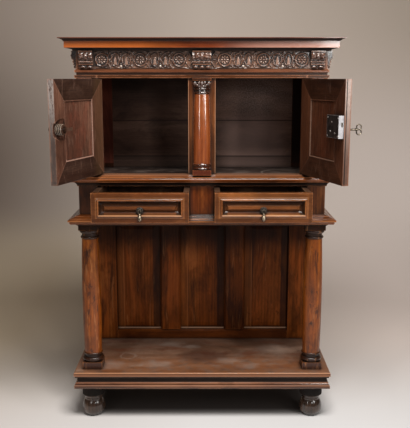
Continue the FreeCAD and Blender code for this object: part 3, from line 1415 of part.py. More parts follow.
def make_pull(prefix, x, face, level):
    """Rose with a stem, and a turned drop that swings on a pin through the stem."""
    tip = face - S.pull_stem_length
    pin_y = tip + S.pull_pin_back
    rose = cylinder(prefix + "_rose_disc", "Y", S.pull_rose_radius, S.pull_rose_thick,
                    (x, face - S.pull_rose_thick, level))
    stem = cylinder(prefix + "_rose_stem", "Y", S.pull_stem_radius, S.pull_stem_length,
                    (x, tip, level))
    reach = S.pull_stem_radius + S.overrun
    eye = cylinder(prefix + "_rose_eye", "X", S.pull_pin_radius + S.pin_clearance, reach * 2,
                   (x - reach, pin_y, level))
    node(prefix + "_pull_rose",
         cut(prefix + "_pull_rose", join(prefix + "_rose", rose, stem), eye))

    inside = S.pull_stem_radius + S.pull_cheek_gap
    outside = inside + S.pull_cheek_thick
    pin = cylinder(prefix + "_drop_pin", "X", S.pull_pin_radius, outside * 2,
                   (x - outside, pin_y, level))
    half = S.pull_pin_radius * 2
    cheek_levels = (level - S.pull_cheek_length, level + half)
    cheeks = [
        box(prefix + "_cheek_" + name, span, (pin_y - half, pin_y + half), cheek_levels)
        for name, span in (("left", (x - outside, x - inside)), ("right", (x + inside, x + outside)))
    ]
    yoke_foot = level - S.pull_cheek_length
    yoke = box(prefix + "_yoke", (x - outside, x + outside), (pin_y - half, pin_y + half),
               (yoke_foot - S.pull_cheek_thick, yoke_foot))
    pear_head = S.pull_drop_length
    pear = turn(prefix + "_pear", [
        (ZERO, ZERO),
        (S.pull_drop_neck, ZERO),
        Arc(u=ZERO, side=1),
        (S.pull_drop_radius, pear_head / 3),
        Arc(u=ZERO, side=1),
        (S.pull_drop_neck, pear_head * 2 / 3),
        (S.pull_drop_neck, pear_head),
        (ZERO, pear_head),
    ], x=x, y=pin_y, z=yoke_foot - pear_head)
    node(prefix + "_pull_drop", join(prefix + "_pull_drop", pin, *cheeks, yoke, pear))


make_drawer("left", -1, S.left_drawer_pull)
make_drawer("right", 1, S.right_drawer_pull)

# Recompute, test and write

DOCUMENT.recompute()
for thing in DOCUMENT.Objects:
    if "Invalid" in thing.State or "Error" in thing.State:
        raise RuntimeError("%s did not compute: %s" % (thing.Label, thing.State))
for name, thing in NODES.items():
    shape = thing.Shape
    if shape.isNull() or not shape.isValid() or not shape.Solids:
        raise RuntimeError("%s has no valid solid" % name)

os.makedirs("parts", exist_ok=True)
for name, thing in NODES.items():
    thing.Shape.exportStep(os.path.join("parts", name + ".step"))
    print("%-24s %2d solids %12.1f mm3" % (name, len(thing.Shape.Solids), thing.Shape.Volume))
print("nodes", len(NODES))
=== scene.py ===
import math
from functools import partialmethod

import bmesh
import bpy
from mathutils import Matrix, Vector, noise


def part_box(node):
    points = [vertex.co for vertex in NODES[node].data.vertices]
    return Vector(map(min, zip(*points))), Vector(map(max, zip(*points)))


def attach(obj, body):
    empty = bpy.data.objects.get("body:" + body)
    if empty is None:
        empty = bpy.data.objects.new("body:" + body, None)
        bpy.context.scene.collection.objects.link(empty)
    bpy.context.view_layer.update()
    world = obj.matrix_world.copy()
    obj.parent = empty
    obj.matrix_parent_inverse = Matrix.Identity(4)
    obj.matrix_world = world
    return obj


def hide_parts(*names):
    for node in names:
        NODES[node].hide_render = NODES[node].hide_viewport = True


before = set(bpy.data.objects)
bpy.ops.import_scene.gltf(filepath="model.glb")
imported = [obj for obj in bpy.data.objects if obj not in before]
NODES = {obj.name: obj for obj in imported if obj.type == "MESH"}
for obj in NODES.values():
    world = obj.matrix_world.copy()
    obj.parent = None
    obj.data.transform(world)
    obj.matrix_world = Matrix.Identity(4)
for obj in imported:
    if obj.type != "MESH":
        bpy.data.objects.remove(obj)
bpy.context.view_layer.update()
MM = 0.001

# The doors' opening angles at rest, in degrees, and their hinge axes in millimetres
LEFT_ANGLE = -109.0
RIGHT_ANGLE = 106.7
LEFT_HINGE = (-413.5, -208.0)
RIGHT_HINGE = (413.5, -208.0)

# The case's front, the frieze's side, and how far out the outer corbels and half columns stand
FRONT = -205.0
FLANK = 492.0
OUTER_CORBEL = 453.0
OUTER_HALF_COLUMN = 462.0
SIDES = (("left", -1), ("right", 1))

# How far the drawers are pulled out, and the sides and levels of their fronts
DRAWER_OUT = {"left": 180.0, "right": 175.0}
DRAWER_SIDES = (49.5, 424.5)
DRAWER_LEVELS = (0.3, 115.5)


def level(node_name, top=True):
    """Height of a node's top or foot at rest, in millimetres."""
    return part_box(node_name)[1 if top else 0][2] / MM


PLATFORM_TOP = level("platform_board")
LOWER_WAIST = level("lower_waist_moulding", False)
DRAWER_STAGE = level("lower_waist_moulding")
RIM = level("upper_waist_moulding")
FRIEZE = level("frieze_board", False)
CORNICE = level("frieze_board")
FOOT_TOP = level("left_front_foot")
CORNICE_TOP = level("cornice_moulding")
BOARD_JOINT = level("back_lower_board")
PANEL_FOOT = level("back_bottom_rail")
PANEL_PITCH = 299.0
STILE_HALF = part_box("centre_stile")[1][0]
DOOR_HALF_EDGE = 0.3566
ABOVE = 10000.0


# Colours and node graphs

def rgb(red, green, blue):
    """A colour from 0 to 255 per channel, as linear values."""
    def linear(value):
        value /= 255
        return value / 12.92 if value <= 0.04045 else ((value + 0.055) / 1.055) ** 2.4
    return (linear(red), linear(green), linear(blue), 1.0)


# A near-black for soot in worm holes, joints and grooves, and also for painted shade under
# mouldings and in recesses
SOOT_AND_SHADE = rgb(13, 6, 3)
DUST = rgb(58, 38, 28)
MATERIALS = {}


class Graph:
    """Short calls that add nodes to a new material, and the colour that they have made so far."""

    colour = None

    def __init__(self, name):
        material = MATERIALS[name] = bpy.data.materials.new(name)
        material.use_nodes = True
        self.tree = material.node_tree
        self.shader = self.tree.nodes["Principled BSDF"]

    def add(self, kind, settings=None, **inputs):
        node = self.tree.nodes.new(kind)
        for key, value in (settings or {}).items():
            setattr(node, key, value)
        for key, value in inputs.items():
            self.set(node.inputs[key.replace("_", " ")], value)
        return node

    def set(self, socket, value):
        if isinstance(value, bpy.types.NodeSocket):
            self.tree.links.new(value, socket)
        else:
            socket.default_value = value

    def math(self, operation, first, second=0.0, third=None):
        node = self.add("ShaderNodeMath", {"operation": operation})
        self.set(node.inputs[0], first)
        self.set(node.inputs[1], second)
        if third is not None:
            self.set(node.inputs[2], third)
        return node.outputs[0]

    plus = partialmethod(math, "ADD")
    minus = partialmethod(math, "SUBTRACT")
    times = partialmethod(math, "MULTIPLY")
    times_plus = partialmethod(math, "MULTIPLY_ADD")
    size = partialmethod(math, "ABSOLUTE")
    most = partialmethod(math, "MAXIMUM")
    least = partialmethod(math, "MINIMUM")

    def length(self, first, second):
        """Length of a vector from its two sides."""
        square = self.plus(self.times(first, first), self.times(second, second))
        return self.math("SQRT", square)

    def span(self, value, low, high, smooth=True):
        """Goes from 0 at low to 1 at high; low may be the greater one."""
        kind = "SMOOTHSTEP" if smooth else "LINEAR"
        node = self.add("ShaderNodeMapRange", {"interpolation_type": kind, "clamp": True})
        for index, item in enumerate((value, low, high)):
            self.set(node.inputs[index], item)
        return node.outputs[0]

    def levels(self, value, low, high):
        """A span between two values in millimetres."""
        return self.span(value, low * MM, high * MM)

    def window(self, value, low, low_full, high, high_full, unit=1.0):
        """Rises from low to low_full, and falls from high_full to high."""
        return self.times(self.span(value, low * unit, low_full * unit),
                          self.span(value, high * unit, high_full * unit))

    def paint(self, mask, share, other):
        """The graph's colour goes to another one where the mask is."""
        self.colour = self.mix(self.times(mask, share), self.colour, other)

    def joined(self, x, y, z=0.0):
        return self.add("ShaderNodeCombineXYZ", None, X=x, Y=y, Z=z).outputs[0]

    def openness(self, distance, inside=False):
        """Ambient occlusion: of the air round a point, or of the wood behind it."""
        node = self.add("ShaderNodeAmbientOcclusion", {"inside": inside, "samples": 6},
                        Distance=distance)
        return node.outputs["AO"]

    def bump(self, strength, distance, height):
        node = self.add("ShaderNodeBump", None, Strength=strength, Distance=distance, Height=height)
        self.set(self.shader.inputs["Normal"], node.outputs[0])

    def surface(self, **inputs):
        """Gives the shader the graph's colour and sets its other sockets."""
        self.set(self.shader.inputs["Base Color"], self.colour)
        for key, value in inputs.items():
            self.set(self.shader.inputs[key.replace("_", " ")], value)

    def mix(self, factor, first, second):
        node = self.add("ShaderNodeMix", {"data_type": "RGBA"})
        self.set(node.inputs[0], factor)
        self.set(node.inputs[6], first)
        self.set(node.inputs[7], second)
        return node.outputs[2]

    def noise(self, vector, scale, detail, rough, distortion=0.0):
        node = self.add("ShaderNodeTexNoise", None, Vector=vector, Scale=scale, Detail=detail,
                        Roughness=rough, Distortion=distortion)
        return node.outputs[0]

    def stretched(self, vector, scales, detail, rough, distortion=0.0):
        """Noise with a scale of its own along each axis."""
        return self.noise(self.scaled(vector, *scales), 1.0, detail, rough, distortion)

    def adding(self, start, *parts):
        """The start with every part, times its share, added."""
        for part, share in parts:
            start = self.times_plus(part, share, start)
        return start

    def ramp(self, factor, stops):
        node = self.add("ShaderNodeValToRGB")
        elements = node.color_ramp.elements
        while len(elements) < len(stops):
            elements.new(0.5)
        for element, (place, colour) in zip(elements, stops):
            element.position = place
            element.color = colour
        self.set(node.inputs[0], factor)
        return node.outputs[0]

    def scaled(self, vector, x, y, z):
        node = self.add("ShaderNodeVectorMath", {"operation": "MULTIPLY"})
        self.set(node.inputs[0], vector)
        node.inputs[1].default_value = (x, y, z)
        return node.outputs[0]


def toned(colour, share, lift=0.0):
    """A colour made paler or deeper."""
    return tuple(min(1.0, channel * share + lift) for channel in colour[:3]) + (1.0,)


def grain_vector(graph, grain, turn, seed, origin):
    """Coordinates whose X runs along the grain, and the piece's own coordinates."""
    coordinates = graph.add("ShaderNodeTexCoord").outputs["Object"]
    place = graph.add("ShaderNodeMapping", {"vector_type": "TEXTURE"}, Vector=coordinates)
    place.inputs["Location"].default_value = (origin[0] * MM, origin[1] * MM, 0)
    place.inputs["Rotation"].default_value = (0, 0, math.radians(turn))
    parts = graph.add("ShaderNodeSeparateXYZ", None, Vector=place.outputs[0])
    order = {"X": (0, 1, 2), "Y": (1, 2, 0), "Z": (2, 0, 1)}[grain]
    offsets = (seed, seed * 0.37, seed * 0.71)
    moved = [graph.plus(parts.outputs[source], offset) for source, offset in zip(order, offsets)]
    return graph.joined(*moved), parts


def wood(name, tones, grain, seed, turn=0.0, gloss=0.3, coat=0.3, spec=0.3, mottle=0.6,
         grime_and_shade=0.85, wear=0.35, bump=0.3, worms=0.5, fade=0.35, fine=0.34, bands=(),
         extra=None, origin=(0.0, 0.0), shine=0.13, varnish=1.5):
    """Old polished wood: figure, fibres, pores, stains, worm holes, crevices with grime and painted
    shade, rubbed edges.

    tones are the dark, middle and light colours. bands are (low, high, soft, colour) heights in
    millimetres of another colour, some of it painted shade; the darkest bands and dust bands are
    also dull.
    extra paints further marks.
    """
    graph = Graph(name)
    vector, parts = grain_vector(graph, grain, turn, seed, origin)
    warp = graph.stretched(vector, (1.6, 9.0, 9.0), 3.0, 0.55)
    rings = graph.add("ShaderNodeTexWave", {"wave_type": "BANDS", "bands_direction": "Y"},
                      Vector=graph.scaled(vector, 0.5, 6.0, 7.0), Scale=3.6, Distortion=5.0,
                      Detail=2.0, Detail_Scale=0.6, Detail_Roughness=0.5)
    streaks = graph.stretched(vector, (3.4, 44.0, 44.0), 4.0, 0.65, 0.5)
    fibres = graph.stretched(vector, (6.0, 230.0, 230.0), 4.0, 0.65)
    pores = graph.stretched(vector, (45.0, 900.0, 900.0), 1.0, 0.5)
    stains = graph.stretched(vector, (4.2, 9.0, 9.0), 5.0, 0.62, 0.6)
    blotches = graph.stretched(vector, (20.0, 38.0, 38.0), 4.0, 0.6)
    figure = 0.08
    dark, middle, light = tones
    paler, deep = toned(light, 1.45, 0.02), toned(dark, 0.34)
    tone = graph.adding(graph.times(rings.outputs["Fac"], figure), (fibres, fine), (streaks, 0.30),
                        (warp, 0.60))
    middle_tone = 0.45 + (figure + fine) * 0.5
    graph.colour = graph.ramp(graph.span(tone, middle_tone - 0.24, middle_tone + 0.24, False),
                              [(0.0, dark), (0.5, middle), (1.0, light)])
    pale = graph.times(graph.span(warp, 0.5, 0.68), graph.span(stains, 0.46, 0.6))
    graph.paint(pale, fade, paler)
    graph.paint(graph.span(stains, 0.56, 0.34), mottle, deep)
    graph.paint(graph.span(blotches, 0.57, 0.74), mottle * 0.6, deep)
    pore = graph.times(graph.span(pores, 0.58, 0.70), 0.45)
    graph.paint(pore, 1.0, deep)
    holes = graph.add("ShaderNodeTexVoronoi", {"feature": "F1"},
                      Vector=graph.scaled(vector, 34.0, 60.0, 60.0), Scale=1.0, Randomness=1.0)
    hole = graph.times(graph.span(holes.outputs["Distance"], 0.09, 0.05),
                       graph.span(blotches, 0.5, 0.56))
    hole = graph.times(hole, worms)
    graph.paint(hole, 1.0, SOOT_AND_SHADE)
    dull = None
    up = parts.outputs[2]
    for low, high, soft, other in bands:
        inside = graph.window(up, low - soft, low + soft, high + soft, high - soft, MM)
        graph.paint(inside, 0.92, other)
        if other in (SOOT_AND_SHADE, DUST):
            dull = inside if dull is None else graph.most(dull, inside)
    if extra:
        extra(graph, parts)
    edge = graph.span(graph.openness(0.005, True), 0.78, 0.45)
    graph.paint(graph.times(edge, graph.span(blotches, 0.30, 0.58)), wear, paler)
    # Crevices and recesses darkened by ambient occlusion: partly grime, partly painted shade
    crevice_grime_and_shade = graph.span(graph.openness(0.022), 0.95, 0.35)
    graph.paint(crevice_grime_and_shade, grime_and_shade, SOOT_AND_SHADE)
    rough = graph.adding(gloss - 0.12, (stains, 0.24), (pore, 0.18), (crevice_grime_and_shade, 0.3))
    layer = coat
    if dull is not None:
        rough = graph.times_plus(dull, 0.5, rough)
        layer = graph.times_plus(dull, -coat, coat)
    graph.surface(Roughness=rough, Specular_IOR_Level=spec, Coat_Weight=layer, Coat_Roughness=shine,
                  Coat_IOR=varnish)
    height = graph.adding(graph.times(pores, -0.35), (fibres, 0.45), (blotches, 0.8), (hole, -1.5))
    graph.bump(bump, 0.0011, height)


def worked_iron(graph, cloud, grit, strength, **inputs):
    """Finishes a metal with a rough, slightly uneven surface."""
    graph.surface(**inputs)
    graph.bump(strength, 0.0008, graph.times_plus(cloud, 0.7, graph.times(grit, 0.4)))


def metal(name, dark, light, rough, rust=0.4):
    """Old worked metal with darker pits and rubbed high places."""
    graph = Graph(name)
    vector = graph.add("ShaderNodeTexCoord").outputs["Object"]
    cloud = graph.noise(vector, 90.0, 4.0, 0.6)
    grit = graph.noise(vector, 520.0, 3.0, 0.6)
    edge = graph.span(graph.openness(0.003, True), 0.8, 0.5)
    tone = graph.times_plus(edge, 0.45, graph.span(cloud, 0.35, 0.7))
    graph.colour = graph.mix(graph.least(tone, 1.0), dark, light)
    graph.paint(graph.span(grit, 0.55, 0.7), rust, rgb(40, 22, 13))
    worked_iron(graph, cloud, grit, 0.25, Metallic=1.0,
                Roughness=graph.times_plus(cloud, 0.3, rough - 0.15))


# Meshes

def in_scene(name, data):
    """A new object of the scene."""
    item = bpy.data.objects.new(name, data)
    bpy.context.scene.collection.objects.link(item)
    return item


def finish_mesh(name, mesh_data, material, body, sharp, shift=None):
    """Makes an object of a bmesh, shaded smooth with sharp edges kept, and puts it on its body."""
    bmesh.ops.remove_doubles(mesh_data, verts=mesh_data.verts, dist=0.000002)
    bmesh.ops.recalc_face_normals(mesh_data, faces=mesh_data.faces)
    limit = math.radians(sharp)
    for face in mesh_data.faces:
        face.smooth = True
    for edge in mesh_data.edges:
        if len(edge.link_faces) == 2:
            edge.smooth = edge.calc_face_angle(0.0) < limit
    mesh = bpy.data.meshes.new(name)
    if shift is not None:
        mesh_data.transform(shift)
    mesh_data.to_mesh(mesh)
    mesh_data.free()
    mesh.materials.append(MATERIALS[material])
    piece = in_scene(name, mesh)
    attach(piece, body)
    return piece


def arc_points(start, end, bulge, steps=8):
    """Points after start up to end, on an arc whose sagitta is bulge times the chord."""
    if not bulge:
        return [end]
    dx, dy = end[0] - start[0], end[1] - start[1]
    chord = math.hypot(dx, dy)
    sagitta = bulge * chord
    radius = (chord * chord / 4 + sagitta * sagitta) / (2 * abs(sagitta))
    side = 1 if bulge > 0 else -1
    nx, ny = dy / chord * side, -dx / chord * side
    cx = (start[0] + end[0]) / 2 - nx * (radius - abs(sagitta))
    cy = (start[1] + end[1]) / 2 - ny * (radius - abs(sagitta))
    first = math.atan2(start[1] - cy, start[0] - cx)
    last = math.atan2(end[1] - cy, end[0] - cx)
    sweep = (last - first + math.pi) % (2 * math.pi) - math.pi
    if abs(sagitta) > chord / 2:
        sweep = sweep - 2 * math.pi if sweep > 0 else sweep + 2 * math.pi
    return [(cx + radius * math.cos(first + sweep * i / steps),
             cy + radius * math.sin(first + sweep * i / steps)) for i in range(1, steps + 1)]


def outline(items, steps):
    """Points of a profile. Each item is (u, v), or (u, v, bulge) for a round run up to it."""
    points = [items[0][:2]]
    for item in items[1:]:
        bulge = item[2] if len(item) > 2 else 0
        points += arc_points(points[-1], item[:2], bulge, steps)
    return points


def skin(data, rows, closed=True):
    """Adds the faces between rows of vertices to a bmesh."""
    count = len(rows[0])
    for low, high in zip(rows, rows[1:]):
        for index in range(count if closed else count - 1):
            following = (index + 1) % count
            data.faces.new((low[index], low[following], high[following], high[index]))


def lathe(profile, segments, start=0.0, sweep=360.0, displace=None):
    """A bmesh turned about Z from (radius, height) points in millimetres."""
    data = bmesh.new()
    whole = sweep >= 360
    count = segments if whole else segments + 1
    rings = []
    for radius, height in profile:
        ring = []
        for index in range(count):
            angle = math.radians(start + sweep * index / segments)
            out = radius + (displace(angle, radius, height) if displace else 0)
            ring.append(data.verts.new((out * math.cos(angle) * MM, out * math.sin(angle) * MM,
                                        height * MM)))
        rings.append(ring)
    skin(data, rings, whole)
    return data


def sheet(columns, rows, at, back):
    """A bmesh of a carved surface at(i, j), closed by a skirt down to the points back(point)."""
    data = bmesh.new()
    grid = [[data.verts.new(at(i, j)) for j in range(rows + 1)] for i in range(columns + 1)]
    for i in range(columns):
        for j in range(rows):
            data.faces.new((grid[i][j], grid[i + 1][j], grid[i + 1][j + 1], grid[i][j + 1]))
    edge = ([grid[i][0] for i in range(columns + 1)]
            + [grid[columns][j] for j in range(1, rows + 1)]
            + [grid[i][rows] for i in range(columns - 1, -1, -1)]
            + [grid[0][j] for j in range(rows - 1, 0, -1)])
    behind = [data.verts.new(back(vertex.co)) for vertex in edge]
    skin(data, (edge, behind))
    return data


def ring_relief(x, z, steps, face=0.0, cap=True):
    """A bmesh of nested rectangles with mitred corners; steps are (inset, depth) from the face."""
    data = bmesh.new()
    loops = []
    for inset, depth in steps:
        corners = ((x[0] + inset, z[0] + inset), (x[1] - inset, z[0] + inset),
                   (x[1] - inset, z[1] - inset), (x[0] + inset, z[1] - inset))
        loops.append([data.verts.new(Vector((cx, face + depth, cz)) * MM) for cx, cz in corners])
    skin(data, loops)
    if cap:
        data.faces.new(loops[-1])
    return data


def ball(data, centre, radii, rings=8, segments=12):
    """Adds a small ellipsoid to a bmesh, in millimetres."""
    matrix = Matrix.Translation(Vector(centre) * MM) @ Matrix.Diagonal(
        (radii[0] * MM, radii[1] * MM, radii[2] * MM, 1))
    bmesh.ops.create_uvsphere(data, u_segments=segments, v_segments=rings, radius=1, matrix=matrix)


def swept_rim(half, front, back, profile):
    """A bmesh of a moulding that runs along the left side, the front and the right side."""
    data = bmesh.new()
    rows = []
    for out, height in profile:
        corners = ((-half - out, back), (-half - out, front - out), (half + out, front - out),
                   (half + out, back))
        rows.append([data.verts.new(Vector((x, y, height)) * MM) for x, y in corners])
    skin(data, rows, False)
    for index in (0, 3):
        data.faces.new([row[index] for row in rows])
    skin(data, (rows[0], rows[-1]), False)
    return data


def half_round(data, axis, low, high, centre, half, rise, base):
    """Adds a half-round bar along X or Z to a bmesh, round centre and standing on base."""
    ends = []
    for along in (low, high):
        points = [(-half, 0.0)] + arc_points((-half, 0.0), (half, 0.0), -rise / (2 * half))
        row = []
        for across, depth in points:
            x, z = (along, centre + across) if axis == "X" else (centre + across, along)
            row.append(data.verts.new(Vector((x, base + depth, z)) * MM))
        ends.append(row)
    skin(data, ends)
    for row in ends:
        data.faces.new(row)


def door_matrix(side):
    """From a door's own millimetres to its place in metres at rest."""
    angle = LEFT_ANGLE if side < 0 else RIGHT_ANGLE
    hinge = LEFT_HINGE if side < 0 else RIGHT_HINGE
    return (Matrix.Translation((hinge[0] * MM, hinge[1] * MM, 0))
            @ Matrix.Rotation(math.radians(angle), 4, "Z"))


# Materials, their marks, and the light and shade painted on some of them

# Places of the frieze's motifs, out from its middle
ROSETTES = (391.5, 241.0, 89.5)
OVALS = (339.0, 295.5, 183.5, 142.0)
BEADS = (317.0, 162.5)
LEAVES = (360.5, 273.0, 208.0, 120.0, 50.0)

# The carved field's foot and top, its ends on the front and on the flank, and a flank's rosette
FIELD = (FRIEZE + 36.5, FRIEZE + 103.5)
FIELD_MIDDLE = (FIELD[0] + FIELD[1]) / 2
FIELD_ENDS = (36.5, 425.5)
FLANK_ENDS = (-160.0, 155.0)
FLANK_ROSETTE = 2.0

# Dark, middle and light tones of the woods
NEAR_BLACK = rgb(24, 12, 6)
FRAME_TONES = (rgb(48, 23, 9), rgb(84, 41, 14), rgb(124, 72, 30))
POST_TONES = (rgb(58, 23, 4), rgb(100, 43, 8), rgb(136, 70, 22))
RED_TONES = (rgb(84, 36, 18), rgb(136, 64, 34), rgb(176, 98, 56))
ORANGE_TONES = (rgb(78, 38, 14), rgb(124, 64, 25), rgb(166, 98, 48))
FRIEZE_TONES = (rgb(66, 35, 20), rgb(108, 62, 38), rgb(152, 100, 70))
CORNICE_TONES = (rgb(66, 24, 8), rgb(106, 44, 16), rgb(150, 80, 34))
TURNED_TONES = (rgb(84, 38, 5), rgb(132, 64, 10), rgb(172, 100, 28))
SHAFT_TONES = (rgb(92, 40, 15), rgb(142, 70, 32), rgb(184, 108, 58))
DARK_TONES = (rgb(22, 12, 7), rgb(42, 25, 16), rgb(72, 48, 34))
FOOT_TONES = (rgb(32, 20, 14), rgb(58, 40, 29), rgb(96, 70, 54))
BACK_TONES = (rgb(60, 27, 8), rgb(104, 50, 13), rgb(142, 78, 28))
# The inside's tones are lighter than the wood's own, as painted light inside the cupboard
INSIDE_TONES_PAINTED_LIGHT = (rgb(68, 45, 35), rgb(106, 77, 63), rgb(140, 108, 92))
FLOOR_TONES = (rgb(28, 20, 17), rgb(48, 37, 32), rgb(78, 64, 57))
LINING_TONES = (rgb(44, 28, 19), rgb(76, 51, 35), rgb(112, 82, 58))
LEFT_DOOR_TONES = (rgb(62, 37, 28), rgb(92, 58, 44), rgb(120, 84, 66))
# The right door's tones are darker than the left door's, as painted shade: its inside faces away
# from the light
RIGHT_DOOR_SHADED_TONES = (rgb(50, 25, 14), rgb(76, 41, 24), rgb(104, 62, 38))
CARVED_TONES = (rgb(44, 23, 13), rgb(86, 51, 34), rgb(138, 97, 74))
DRAWER_TONES = (rgb(66, 34, 15), rgb(106, 57, 25), rgb(156, 95, 48))
STAGE_TONES = (rgb(80, 53, 38), rgb(114, 82, 63), rgb(144, 113, 93))
PLINTH_TONES = (rgb(58, 29, 14), rgb(98, 56, 32), rgb(140, 92, 60))


def stripes(graph, height, base, lines):
    """Level stripes: lines are (low, high, share, colour) in millimetres over the base."""
    for low, high, share, other in lines:
        inside = graph.window(height, base + low - 0.6, base + low + 0.6, base + high + 0.6,
                              base + high - 0.6, MM)
        graph.paint(inside, share, other)


def platform_marks_and_painted_light(graph, parts):
    """Worn top: pale patches, grime, a faint ring and a dark stain; painted highlights and painted
    shade along the front edge.
    """
    x, y, z = parts.outputs
    flat = graph.joined(x, y)
    ragged = graph.noise(flat, 22.0, 4.0, 0.6)

    def distance(cx, cy, stretch):
        dx = graph.times(graph.minus(x, cx), stretch)
        away = graph.length(dx, graph.minus(y, cy))
        return graph.times_plus(graph.minus(ragged, 0.5), 0.05, away)

    haze = graph.span(graph.noise(flat, 4.0, 6.0, 0.68), 0.44, 0.62)
    graph.paint(haze, 0.16, rgb(150, 130, 118))
    grime = graph.span(graph.noise(flat, 13.0, 6.0, 0.7), 0.52, 0.66)
    graph.paint(grime, 0.35, rgb(66, 40, 27))
    red = graph.span(graph.noise(graph.scaled(flat, 1.0, 2.2, 1.0), 6.5, 4.0, 0.6), 0.5, 0.66)
    graph.paint(red, 0.55, rgb(98, 50, 28))
    front = graph.times(graph.span(y, -0.02, -0.15), graph.span(ragged, 0.3, 0.6))
    graph.paint(front, 0.55, rgb(128, 76, 40))
    rear = graph.times(graph.span(y, 0.02, 0.16), graph.span(ragged, 0.62, 0.36))
    graph.paint(rear, 0.3, rgb(112, 96, 86))
    stain = graph.span(distance(0.012, -0.06, 0.8), 0.12, 0.03)
    graph.paint(stain, 0.65, rgb(58, 30, 20))
    ring = graph.window(distance(-0.33, -0.06, 1.0), 0.026, 0.031, 0.04, 0.034)
    graph.paint(ring, 0.2, rgb(166, 148, 134))
    spots = ((-0.05, 0.05, 0.022), (0.11, -0.11, 0.03), (-0.4, -0.16, 0.045), (0.32, 0.02, 0.05),
             (0.2, -0.17, 0.03), (-0.2, -0.15, 0.04), (-0.14, 0.08, 0.03))
    for cx, cy, size in spots:
        spot = graph.span(distance(cx, cy, 0.6), size * 1.5, size * 0.3)
        graph.paint(spot, 0.2, rgb(178, 164, 152))
    below = graph.levels(z, PLATFORM_TOP - 2.0, PLATFORM_TOP - 6.0)
    graph.paint(below, 0.6, rgb(128, 76, 46))
    # Along the front edge: painted highlight lines, a darker line between them, and a painted
    # shadow line at its foot
    stripes(graph, z, PLATFORM_TOP,
            ((-5.0, -1.2, 0.5, rgb(190, 132, 88)), (-10.5, -5.5, 0.55, rgb(60, 32, 18)),
             (-19.0, -11.5, 0.4, rgb(158, 106, 74)), (-25.0, -20.0, 0.85, SOOT_AND_SHADE)))


def plinth_highlights_and_shade(graph, parts):
    """Painted highlights on the plinth moulding's crests, a dark line between them, and painted
    shade in its hollow.
    """
    stripes(graph, parts.outputs[2], PLATFORM_TOP,
            ((-50.0, -45.5, 0.2, rgb(186, 132, 104)), (-55.0, -51.0, 0.6, rgb(44, 22, 14)),
             (-61.0, -56.0, 0.3, rgb(204, 158, 134)), (-74.0, -66.5, 0.7, SOOT_AND_SHADE)))


def floor_marks(graph, parts):
    """A worn, scuffed cupboard floor, with a faint curved mark on the right."""
    x, y, _ = parts.outputs
    flat = graph.joined(x, y)
    haze = graph.span(graph.noise(flat, 9.0, 6.0, 0.7), 0.46, 0.66)
    graph.paint(haze, 0.45, rgb(120, 106, 98))
    away = graph.length(graph.minus(x, 0.36), graph.minus(y, -0.02))
    mark = graph.window(away, 0.098, 0.102, 0.11, 0.106)
    graph.paint(mark, 0.35, rgb(150, 138, 128))


def inside_marks_and_painted_light(graph, parts):
    """A painted reflection and a painted pool of light on the boards behind the right compartment,
    painted shade towards the left and the top, and the boards' joints.
    """
    x, _, z = parts.outputs
    flat = graph.joined(x, z)
    # A greyish painted reflection high on the right boards
    speckle = graph.span(graph.noise(flat, 190.0, 4.0, 0.7), 0.42, 0.62)
    dx = graph.times(graph.minus(x, 0.24), 0.7)
    dz = graph.minus(z, (FRIEZE - 70.0) * MM)
    painted_reflection = graph.span(graph.length(dx, dz), 0.17, 0.02)
    painted_reflection = graph.times(painted_reflection, graph.times_plus(speckle, 0.6, 0.2))
    graph.paint(painted_reflection, 0.75, rgb(176, 148, 138))
    # A painted pool of light on the lower right boards
    lower = graph.window(x, 0.04, 0.14, 0.42, 0.28)
    lower = graph.times(lower, graph.levels(z, RIM + 250.0, RIM + 130.0))
    graph.paint(lower, 0.5, rgb(184, 152, 142))
    joint = graph.span(graph.size(graph.minus(z, (RIM + 34.0) * MM)), 0.006, 0.002)
    graph.paint(joint, 0.6, SOOT_AND_SHADE)
    batten = graph.levels(z, RIM + 36.0, RIM + 32.0)
    graph.paint(batten, 0.5, rgb(50, 38, 33))
    seam = graph.size(graph.minus(z, BOARD_JOINT * MM))
    graph.paint(graph.span(seam, 0.0032, 0.0012), 0.85, SOOT_AND_SHADE)
    # Painted shade towards the left, deepest near the top
    shaded = graph.span(x, 0.25, -0.25)
    graph.paint(shaded, 0.42, rgb(30, 19, 14))
    above = graph.levels(z, FRIEZE - 160.0, FRIEZE)
    graph.paint(graph.times(above, shaded), 0.6, SOOT_AND_SHADE)


def back_marks_and_painted_shade(graph, parts):
    """Orange streaks down the back, with painted shadow towards its top, and painted shade above
    the rim, red-brown towards the left.
    """
    x, _, z = parts.outputs
    flat = graph.joined(x, z)
    streaks = graph.stretched(flat, (13.0, 2.0, 1.0), 5.0, 0.62, 0.7)
    graph.paint(graph.span(streaks, 0.52, 0.66), 0.5, rgb(156, 78, 28))
    graph.paint(graph.span(streaks, 0.47, 0.36), 0.6, rgb(32, 15, 7))
    pale = graph.stretched(flat, (60.0, 5.0, 1.0), 4.0, 0.6, 0.4)
    graph.paint(graph.span(pale, 0.6, 0.7), 0.3, rgb(172, 112, 66))
    lower = graph.span(z, 0.5, 0.3)
    knots = graph.stretched(flat, (22.0, 16.0, 1.0), 4.0, 0.6, 0.8)
    knots = graph.times(graph.span(knots, 0.62, 0.7), lower)
    graph.paint(knots, 0.6, rgb(30, 14, 7))
    # Painted shadow of the drawer stage, darkening the back towards its top
    above = graph.levels(z, LOWER_WAIST - 250.0, LOWER_WAIST - 115.0)
    graph.paint(above, 0.82, rgb(24, 11, 6))
    # Painted shade on the posts above the rim; towards the left they turn red-brown
    cupboard = graph.levels(z, RIM, RIM + 6.0)
    graph.paint(cupboard, 0.85, rgb(26, 14, 10))
    left = graph.times(cupboard, graph.span(x, 0.0, -0.1))
    graph.paint(left, 0.62,
                graph.mix(graph.span(streaks, 0.36, 0.64), rgb(92, 46, 36), rgb(146, 74, 54)))


